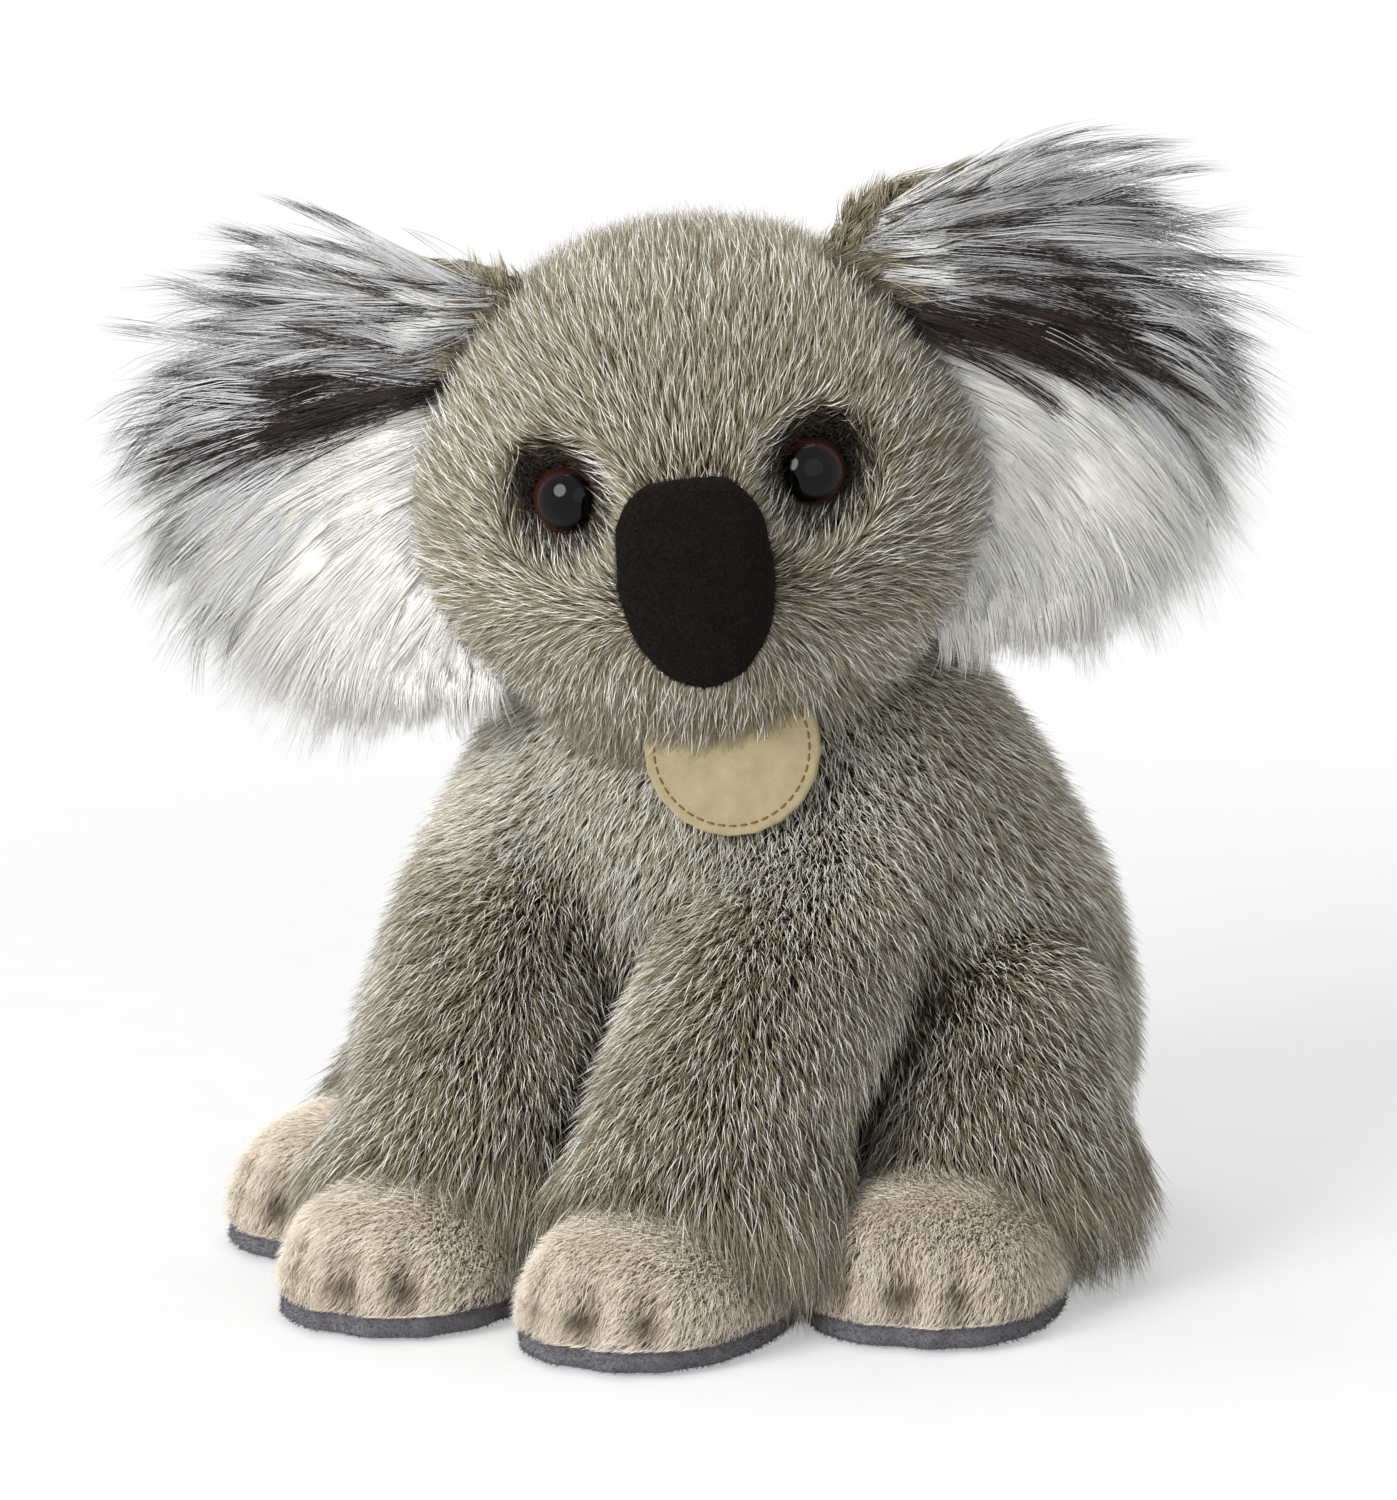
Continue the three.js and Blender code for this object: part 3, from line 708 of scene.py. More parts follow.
@dataclass(frozen=True)
class Pile:
    """How one kind of fibre stands on its cloth.

    Attributes:
        density: fibres to a square millimetre.
        depth: how deep the cloth lies below the outside of the pile.
        rise: how far a fibre stands up from its cloth.
        slide: how far it leans along the comb.
        spread: how unlike each other the lengths are, as a share.
        radius: a fibre's radius at its root.
        gather: how far the tips draw together into tufts, as a share.
        tuft: the usual distance between tufts.
        stray: how far a tip wanders by chance.
        points: points along each fibre.
        wander: how far fibres turn aside from the comb by chance.
        rise_power: how early along itself a fibre rises.
        slide_power: how late along itself it leans.
        radius_spread: how unlike each other the radii are, as a share.
        seed: picks where the tufts are.
    """

    density: float
    depth: float
    rise: float
    slide: float
    spread: float
    radius: float
    gather: float
    tuft: float
    stray: float
    points: int = 3
    wander: float = 0.22
    rise_power: float = 1.7
    slide_power: float = 1.35
    radius_spread: float = 0.25
    seed: int = 5

    def strands(
        self, roots: Roots, comb: Array, tones: Array, rng: Chance, length: Array | float = 1.0
    ) -> Strands:
        """Fibres that grow from roots.

        Args:
            roots: where the fibres stand.
            comb: the way that the pile lies at each root.
            tones: each fibre's tone.
            rng: the source of chance.
            length: a share of the usual length at each root.

        Returns:
            The fibres.
        """
        count = len(roots)
        size = (1 + self.spread * rng.uniform(-1, 1, count)) * length
        aside = np.cross(comb, roots.normals)
        comb = unit(comb + aside * rng.normal(0, self.wander, (count, 1)))
        shares = np.linspace(0, 1, self.points)
        lift = 1 - (1 - shares) ** self.rise_power
        lean = shares ** self.slide_power
        sunk = self.depth * np.minimum(np.broadcast_to(length, count), 1)
        start = roots.places - roots.normals * sunk[:, None]
        rise = (self.rise * size)[:, None, None] * lift[None, :, None] * roots.normals[:, None]
        slide = (self.slide * size)[:, None, None] * lean[None, :, None] * comb[:, None]
        centres, _ = clumps(roots.places, self.tuft, self.seed)
        pull = centres - roots.places
        pull -= dot(pull, roots.normals) * roots.normals
        drift = pull * self.gather + rng.normal(0, self.stray, (count, 3))
        paths = start[:, None] + rise + slide + drift[:, None] * (shares ** 2)[None, :, None]
        radii = self.radius * (1 + self.radius_spread * rng.uniform(-1, 1, count))
        return Strands(paths, radii, np.clip(tones, 0, HIGHEST_TONE))

    def matted(self, roots: Roots, rng: Chance) -> Strands:
        """Fibres that lie every way, in every tone."""
        way = tangent(unit(rng.normal(size=(len(roots), 3))), roots.normals)
        return self.strands(roots, way, rng.random(len(roots)), rng)


# Shaders

class Shader:
    """The nodes of a material or a world, written as expressions."""

    def __init__(self, owner: Material | bpy.types.World) -> None:
        """Starts with no nodes.

        Args:
            owner: the material or world that the nodes are for.
        """
        owner.use_nodes = True
        self.tree = owner.node_tree
        self.tree.nodes.clear()

    def node(self, kind: str, settings: dict | None = None, **inputs: object) -> bpy.types.Node:
        """Adds a node.

        Args:
            kind: the node's type, without the ShaderNode that they all start with.
            settings: properties that are set before the sockets, and a ramp's stops.
            inputs: values or links of its sockets, by name with _ for a space, or by _ and a number.

        Returns:
            The node.
        """
        made = self.tree.nodes.new("ShaderNode" + kind)
        for key, value in (settings or {}).items():
            if key == "stops":
                self._set_stops(made.color_ramp, value)
            else:
                setattr(made, key, value)
        for key, value in inputs.items():
            number = key[1:] if key.startswith("_") else ""
            socket = made.inputs[int(number)] if number.isdigit() else made.inputs[key.replace("_", " ")]
            self._put(socket, value)
        return made

    def _put(self, socket: Socket, value: object) -> None:
        """Links or sets a socket.

        Args:
            socket: the socket.
            value: what goes in: a link where it is a socket or a Value, and otherwise a constant.
        """
        if isinstance(value, Value):
            value = value.socket
        if isinstance(value, Socket):
            self.tree.links.new(value, socket)
        elif isinstance(value, (tuple, list)) and len(value) == 3 and socket.type == "RGBA":
            socket.default_value = (*value, 1)
        else:
            socket.default_value = value

    @staticmethod
    def _set_stops(ramp: bpy.types.ColorRamp, stops: Stops) -> None:
        """Writes a ramp's places and colours.

        Args:
            ramp: the ramp.
            stops: its places and their colours.
        """
        while len(ramp.elements) < len(stops):
            ramp.elements.new(1)
        for element, (place, colour) in zip(ramp.elements, stops):
            element.position = place
            element.color = (*colour, 1)

    def value(self, socket: Socket) -> "Value":
        """A socket that sums can be done on."""
        return Value(self, socket)

    def vectors(self, operation: str, **inputs: object) -> Socket:
        """The result of a sum on vectors: a number for a length or a dot product, and otherwise a vector."""
        made = self.node("VectorMath", {"operation": operation}, **inputs)
        return made.outputs["Value" if operation in ("LENGTH", "DOT_PRODUCT") else "Vector"]

    def place(self) -> Socket:
        """The place on the object."""
        return self.node("TexCoord").outputs["Object"]

    def axes(self, vector: object) -> list["Value"]:
        """A vector's three numbers."""
        return [self.value(socket) for socket in self.node("SeparateXYZ", Vector=vector).outputs]

    def ramp(self, factor: object, stops: Stops) -> "Value":
        """Colours along a factor from 0 to 1."""
        return self.value(self.node("ValToRGB", {"stops": stops}, Fac=factor).outputs["Color"])

    def step(self, low: float, high: float, factor: object) -> "Value":
        """A smooth rise from 0 at low to 1 at high."""
        ease = {"interpolation_type": "SMOOTHSTEP"}
        return self.value(self.node("MapRange", ease, Value=factor, From_Min=low, From_Max=high).outputs[0])

    def mix(self, first: object, second: object, factor: object) -> "Value":
        """A colour between two, at a factor from 0 to 1."""
        made = self.node("Mix", {"data_type": "RGBA"}, _0=factor, _6=first, _7=second)
        return self.value(made.outputs[2])

    def noise(self, scale: float, detail: float) -> "Value":
        """Cloudy values of about 0 to 1, with features to a metre given by scale."""
        made = self.node("TexNoise", Vector=self.place(), Scale=scale, Detail=detail)
        return self.value(made.outputs["Fac"])

    def bump(self, height: object, distance: float) -> Socket:
        """A normal that is tilted by a height."""
        return self.node("Bump", Height=height, Distance=distance).outputs["Normal"]

    def seen(self) -> "Value":
        """1 where the camera looks, straight, by a gloss or through something clear, and 0 otherwise."""
        paths = self.node("LightPath").outputs
        return self.value(paths["Is Camera Ray"]) + paths["Is Glossy Ray"] + paths["Is Transmission Ray"]


@dataclass(frozen=True)
class Value:
    """A number that a shader works out, with the usual sums."""

    shader: Shader
    socket: Socket

    def _sum(self, operation: str, *inputs: object) -> "Value":
        """A Math node on values or numbers."""
        sockets = {f"_{number}": value for number, value in enumerate(inputs)}
        return self.shader.value(self.shader.node("Math", {"operation": operation}, **sockets).outputs[0])

    def __add__(self, other: object) -> "Value":
        """This and another."""
        return self._sum("ADD", self, other)

    __radd__ = __add__

    def __sub__(self, other: object) -> "Value":
        """This less another."""
        return self._sum("SUBTRACT", self, other)

    def __rsub__(self, other: object) -> "Value":
        """Another less this."""
        return self._sum("SUBTRACT", other, self)

    def __mul__(self, other: object) -> "Value":
        """This times another."""
        return self._sum("MULTIPLY", self, other)

    __rmul__ = __mul__

    def sine(self) -> "Value":
        """The sine of this."""
        return self._sum("SINE", self)


def srgb(red: int, green: int, blue: int) -> Colour:
    """A colour given by its screen values from 0 to 255."""
    shares = [value / 255 for value in (red, green, blue)]
    return tuple(v / 12.92 if v <= 0.04045 else ((v + 0.055) / 1.055) ** 2.4 for v in shares)


# Kinds of finish

@dataclass(frozen=True)
class Finish:
    """What a piece is made of.

    Attributes:
        name: the material's name.
        slot: the record's slot for it.
    """

    name: str
    slot: str

    def build(self) -> Material:
        """Makes the material.

        Returns:
            The material.
        """
        material = bpy.data.materials.new(self.name)
        shader = Shader(material)
        cover = shader.node("BsdfPrincipled", **self.sockets(shader))
        shader.node("OutputMaterial", Surface=cover.outputs["BSDF"])
        return material

    def sockets(self, shader: Shader) -> dict[str, object]:
        """What goes into the Principled shader, which each kind of finish works out."""
        raise NotImplementedError


@dataclass(frozen=True)
class PileFinish(Finish):
    """Pile whose colour runs along each fibre, on a scale of tones from fibre to fibre.

    Attributes:
        roots: the colours of the lower part, by tone.
        tips: the colours of the upper part, by tone.
        change: where along a fibre the upper colour starts and is full.
    """

    roots: Stops
    tips: Stops
    change: Pair
    roughness: float = 0.5
    specular: float = 0.35

    def sockets(self, shader: Shader) -> dict[str, object]:
        """Colours the pile by its map: the tone across and the place along a fibre upwards.

        Args:
            shader: where the nodes go.

        Returns:
            The sockets.
        """
        tone, along, _ = shader.axes(shader.node("UVMap", {"uv_map": BAKE_MAP}).outputs["UV"])
        upper = shader.step(*self.change, along)
        return {
            "Base_Color": shader.mix(shader.ramp(tone, self.roots), shader.ramp(tone, self.tips), upper),
            "Roughness": self.roughness, "Specular_IOR_Level": self.specular,
        }


@dataclass(frozen=True)
class TwoToneFinish(Finish):
    """A finish whose colour wanders between two near tones.

    Attributes:
        low: the darker tone.
        high: the lighter tone.
        ends: the values of its noise up to which the low tone is full, and from which the high tone is.
    """

    low: Colour
    high: Colour
    ends: Pair = (0.3, 0.7)

    def colour(self, shader: Shader, factor: object) -> Value:
        """The colour for a noise."""
        return shader.ramp(factor, tuple(zip(self.ends, (self.low, self.high))))


@dataclass(frozen=True)
class FeltFinish(TwoToneFinish):
    """Matted fibres with a soft uneven face."""

    ends: Pair = (0.32, 0.68)
    relief: float = 0.35 * MM
    sheen: float = 0.25

    def sockets(self, shader: Shader) -> dict[str, object]:
        """Mottles the felt with fine fibres and broad clouds.

        Args:
            shader: where the nodes go.

        Returns:
            The sockets.
        """
        fine, broad = shader.noise(2600, 4), shader.noise(260, 3)
        return {
            "Base_Color": self.colour(shader, fine * 0.65 + broad * 0.35), "Roughness": 0.95,
            "Sheen_Weight": self.sheen, "Sheen_Roughness": 0.6, "Specular_IOR_Level": 0.15,
            "Normal": shader.bump(fine + broad * 0.6, self.relief),
        }


@dataclass(frozen=True)
class SuedeFinish(TwoToneFinish):
    """Brushed leather: a cloudy nap and a fine grain."""

    def sockets(self, shader: Shader) -> dict[str, object]:
        """Clouds the suede with its nap and roughens it with its grain.

        Args:
            shader: where the nodes go.

        Returns:
            The sockets.
        """
        nap, grain = shader.noise(240, 4), shader.noise(4200, 3)
        return {
            "Base_Color": self.colour(shader, nap * 0.55 + grain * 0.45), "Roughness": 0.85,
            "Sheen_Weight": 0.2, "Specular_IOR_Level": 0.2,
            "Normal": shader.bump(grain, distance=0.12 * MM),
        }


@dataclass(frozen=True)
class ClothFinish(TwoToneFinish):
    """Plain weave, for backing cloth, pouches and thread."""

    ends: Pair = (0.25, 0.75)
    pitch: float = 0.5 * MM

    def sockets(self, shader: Shader) -> dict[str, object]:
        """Weaves the cloth from waves along three axes, and patches it with clouds.

        Args:
            shader: where the nodes go.

        Returns:
            The sockets.
        """
        x, y, z = [(axis * (math.tau / self.pitch)).sine() for axis in shader.axes(shader.place())]
        weave = (x * y + y * z + z * x) * 0.25 + 0.5
        return {
            "Base_Color": self.colour(shader, weave * 0.5 + shader.noise(350, 3) * 0.5), "Roughness": 0.9,
            "Specular_IOR_Level": 0.2, "Normal": shader.bump(weave, distance=0.06 * MM),
        }


@dataclass(frozen=True)
class PlasticFinish(TwoToneFinish):
    """Moulded plastic with a faint cloud in its colour."""

    def sockets(self, shader: Shader) -> dict[str, object]:
        """Clouds the plastic's colour and its gloss.

        Args:
            shader: where the nodes go.

        Returns:
            The sockets.
        """
        cloud = shader.noise(500, 2)
        return {
            "Base_Color": self.colour(shader, cloud),
            "Roughness": shader.step(0.2, 0.8, cloud) * 0.15 + 0.35,
        }


@dataclass(frozen=True)
class GlossFinish(Finish):
    """Polished plastic with a coloured ring that fades into a dark middle.

    Attributes:
        centre: the middle of the ring.
        facing: the way that the ring faces.
        inner: the radius up to which the middle is dark.
        outer: the radius from which the ring's colour is full.
    """

    centre: tuple[float, ...]
    facing: tuple[float, ...]
    inner: float
    outer: float
    middle: Colour = srgb(5, 4, 4)
    ring: Colour = srgb(46, 26, 20)

    def sockets(self, shader: Shader) -> dict[str, object]:
        """Colours the ring by how far each place lies from the axis through its middle.

        Args:
            shader: where the nodes go.

        Returns:
            The sockets.
        """
        offset = shader.vectors("SUBTRACT", _0=shader.place(), _1=self.centre)
        ahead = shader.vectors("DOT_PRODUCT", _0=offset, _1=self.facing)
        along = shader.vectors("SCALE", _0=self.facing, Scale=ahead)
        radius = shader.vectors("LENGTH", _0=shader.vectors("SUBTRACT", _0=offset, _1=along))
        grain = shader.noise(900, 3) * 0.5 + 0.75
        rim = shader.step(self.inner, self.outer, radius) * grain
        return {
            "Base_Color": shader.mix(self.middle, self.ring, rim), "Roughness": 0.06,
            "Specular_IOR_Level": 0.18,
        }


# Finishes of this toy

BODY_PLUSH = PileFinish(
    "taupe_plush", "body_plush",
    roots=(
        (0.0, srgb(26, 19, 14)), (0.2, srgb(60, 51, 38)), (0.45, srgb(112, 102, 82)),
        (0.7, srgb(132, 123, 101)), (1.0, srgb(150, 142, 122)),
    ),
    tips=(
        (0.0, srgb(34, 26, 19)), (0.12, srgb(70, 60, 47)), (0.3, srgb(140, 130, 107)),
        (0.6, srgb(186, 177, 154)), (0.75, srgb(214, 209, 192)), (0.9, srgb(249, 248, 241)),
    ),
    change=(0.2, 0.65),
)
LIMB_PLUSH = replace(BODY_PLUSH, name="limb_taupe_plush", slot="limb_plush")
EAR_BACK_PLUSH = replace(BODY_PLUSH, name="ear_taupe_plush", slot="ear_back_plush")
EAR_FRONT = PileFinish(
    "ear_front_fur", "ear_front_plush",
    roots=(
        (0.0, srgb(34, 24, 18)), (0.2, srgb(60, 49, 42)), (0.35, srgb(216, 216, 217)),
        (0.6, srgb(216, 216, 218)), (0.8, srgb(232, 232, 234)), (1.0, srgb(247, 245, 237)),
    ),
    tips=(
        (0.0, srgb(18, 13, 10)), (0.2, srgb(30, 23, 19)), (0.45, srgb(40, 33, 29)),
        (0.55, srgb(150, 149, 148)), (0.8, srgb(236, 236, 238)), (1.0, srgb(252, 250, 244)),
    ),
    change=(0.58, 0.84),
)
EAR_BACK = replace(EAR_FRONT, name="ear_back_fur", slot="ear_back_plush")
PAW_PLUSH = PileFinish(
    "paw_plush", "paw_plush",
    roots=((0.0, srgb(84, 73, 60)), (0.5, srgb(222, 209, 190)), (1.0, srgb(240, 231, 216))),
    tips=((0.0, srgb(108, 96, 80)), (0.5, srgb(240, 227, 209)), (1.0, srgb(252, 246, 235))),
    change=(0.1, 0.8), roughness=0.7,
)
NOSE_FUZZ = PileFinish(
    "nose_fuzz", "nose_felt", roots=((0.0, srgb(8, 7, 6)), (1.0, srgb(22, 18, 16))),
    tips=((0.0, srgb(12, 10, 9)), (0.6, srgb(30, 26, 23)), (1.0, srgb(66, 58, 52))), change=(0.2, 0.9),
    roughness=0.8, specular=0.1,
)
SOLE_FUZZ = PileFinish(
    "sole_fuzz", "sole_felt", roots=((0.0, srgb(66, 65, 69)), (1.0, srgb(106, 105, 110))),
    tips=((0.0, srgb(84, 82, 88)), (1.0, srgb(136, 134, 140))), change=(0.2, 0.9), roughness=0.8,
    specular=0.1,
)
NOSE_FELT = FeltFinish("black_felt", "nose_felt", srgb(8, 7, 6), srgb(24, 20, 17), sheen=0.0)
SOLE_FELT = FeltFinish("grey_felt", "sole_felt", srgb(80, 79, 84), srgb(122, 120, 126), relief=0.5 * MM)
WADDING = FeltFinish("wadding", "fibre_filling", srgb(214, 213, 208), srgb(240, 240, 237), relief=0.8 * MM)
BACKING_CLOTH = ClothFinish("plush_backing", "body_plush", srgb(58, 50, 39), srgb(84, 75, 61))
EAR_CLOTH = ClothFinish("ear_backing", "ear_front_plush", srgb(170, 167, 160), srgb(208, 205, 198))
PAW_CLOTH = ClothFinish("paw_backing", "paw_plush", srgb(120, 110, 95), srgb(150, 140, 124))
POUCH_CLOTH = ClothFinish("pouch_cloth", "pellet_pouch", srgb(206, 204, 198), srgb(232, 230, 224))
WASHER_PLASTIC = PlasticFinish("white_plastic", "washer_plastic", srgb(214, 214, 210), srgb(230, 230, 227))
TAG_SUEDE = SuedeFinish("tan_suede", "tag_suede", srgb(146, 134, 102), srgb(172, 159, 127))
TAG_THREAD = ClothFinish("brown_thread", "tag_suede", srgb(116, 88, 50), srgb(150, 118, 74), pitch=0.12 * MM)
TAG_CORD = ClothFinish("loop_cord", "tag_cord", srgb(176, 160, 124), srgb(204, 188, 152), pitch=0.3 * MM)


class Finishes:
    """The materials, each made once, when a piece first needs it."""

    def __init__(self) -> None:
        """Starts with none made."""
        self.made: dict[str, Material] = {}

    def material(self, finish: Finish) -> Material:
        """Gives the material of a finish.

        Args:
            finish: the finish.

        Returns:
            Its material, made now if it wasn't there.
        """
        if finish.name not in self.made:
            self.made[finish.name] = finish.build()
        return self.made[finish.name]

    def dress(
        self, piece: Piece, finish: Finish, body: str = "root", nodes: Iterable[str] = (),
        fill: float | None = None,
    ) -> None:
        """Gives a piece its finish, the body that it moves with and what it stands for.

        Args:
            piece: the object.
            finish: what it is made of.
            body: the body that it rides on.
            nodes: the solids that it replaces.
            fill: how tightly it is stuffed, if it is. Not used.
        """
        piece.data.materials.append(self.material(finish))
        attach(piece, body)
        if nodes:
            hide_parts(*nodes)
        LOG.info("%s: %d faces, on %s", piece.name, len(piece.data.polygons), body)

    def lay(self, strands: Strands, name: str, finish: PileFinish, body: str = "root") -> None:
        """Adds fibres in as few pieces as the limit of faces allows, split by height.

        Args:
            strands: the fibres.
            name: the pieces' name, which gets a number where there are several.
            finish: what they are made of.
            body: the body that they ride on.
        """
        raised = strands.above(FLOOR_GAP)
        count = math.ceil(len(raised) * raised.faces_each() / MOST_FACES)
        order = np.argsort(raised.paths[:, 0, 2], kind="stable")
        for number, part in enumerate(np.array_split(order, count), 1):
            title = f"{name}_{number}" if count > 1 else name
            self.dress(raised.pick(part).piece(title), finish, body)


# Sub-assemblies

@dataclass(frozen=True)
class Place:
    """Axes of a part's own, one a row, from an origin."""

    origin: Array
    axes: Array

    def local(self, points: Array) -> Array:
        """Points as the part sees them."""
        return (points - self.origin) @ self.axes.T

    def world(self, points: Array) -> Array:
        """The part's points as the frame sees them."""
        return self.origin + points @ self.axes

    def turned(self, *vector: float) -> Array:
        """One of the part's directions as the frame sees it."""
        return np.array(vector) @ self.axes


def head_place() -> Place:
    """Finds the head's axes from its ears' hinges.

    Returns:
        X to its left, Y to its back, and the hinges' line as Z, from the middle between the hinges.
    """
    joints = {joint["name"]: joint for joint in frame["joints"]}
    left, right = (np.array(joints[f"{side.word}_ear_flap"]["pos_m"]) for side in Side)
    up = unit(np.array(joints["left_ear_flap"]["axis"]))
    aside = unit(left - right)
    return Place((left + right) / 2, np.stack([aside, np.cross(up, aside), up]))


def nodes_of(kind: str, side: Side, *layers: str) -> list[str]:
    """The names of one limb's solids, such as arm_skin_left."""
    return [f"{kind}_{layer}_{side.word}" for layer in layers]


UNDERFUR = Pile(
    density=1.7, depth=7.0 * MM, rise=7.2 * MM, slide=5.5 * MM, spread=0.22, radius=0.13 * MM, gather=0.25,
    tuft=3.0 * MM, stray=0.7 * MM,
)
FROST = Pile(
    density=0.48, depth=4.5 * MM, rise=5.6 * MM, slide=5.4 * MM, spread=0.35, radius=0.12 * MM, gather=0.25,
    tuft=3.0 * MM, stray=0.5 * MM,
)


@dataclass(frozen=True)
class Plush:
    """Long taupe pile in two kinds of fibre: a dense underfur and thin frosted hairs that stand above it.

    Attributes:
        under: the underfur.
        frost: the frosted hairs.
        tones: the usual tone of each.
        wander: how far the tones of each vary by chance.
        shaded: how much of the shade each takes on.
        airbrush_from: the shade below which the frosted hairs darken too: the dye round the eyes, and the
            painted shade in the body's creases.
        airbrush: how strongly they darken.
        lock: the usual distance between locks of one tone.
        lock_tone: how unlike each other the locks' tones are.
    """

    under: Pile = UNDERFUR
    frost: Pile = FROST
    tones: Pair = (0.47, 0.95)
    wander: Pair = (0.08, 0.1)
    shaded: Pair = (1.0, 0.25)
    airbrush_from: float = -0.14
    airbrush: float = 3.0
    lock: float = 5 * MM
    lock_tone: float = 0.1

    def grow(
        self, coat: Surface, weights: Array, length: Array, shade: Array,
        comb: Callable[[Array, Array], Array], rng: Chance,
    ) -> dict[str, Strands]:
        """Both kinds of fibre over one part of a coat.

        Args:
            coat: the outside of the pile.
            weights: a share of the usual density at each point.
            length: a share of the usual length at each point.
            shade: how far the tone moves, below zero for darker, at each point.
            comb: gives the way that the pile lies from places and normals.
            rng: the source of chance.

        Returns:
            The underfur and the frosted hairs, by the word for them in the names of pieces.
        """
        made = {}
        kinds = zip(("underfur", "frost"), (self.under, self.frost), self.tones, self.wander, self.shaded)
        for name, pile, tone, wander, share in kinds:
            roots = scattered(coat, pile.density, weights, rng, length=length, shade=shade)
            _, lock = clumps(roots.places, self.lock, seed=11)
            shade_here = roots.values["shade"]
            # Painted shade in the body's creases darkens the frosted hairs here, as the dye round the eyes
            # does.
            darkened = np.minimum(shade_here - self.airbrush_from, 0) * self.airbrush * (1 - share)
            tones = tone + shade_here * share + darkened + self.lock_tone * (lock - 0.5)
            tones += rng.normal(0, wander, len(roots))
            way = comb(roots.places, roots.normals)
            made[name] = pile.strands(roots, way, tones, rng, roots.values["length"])
        return made


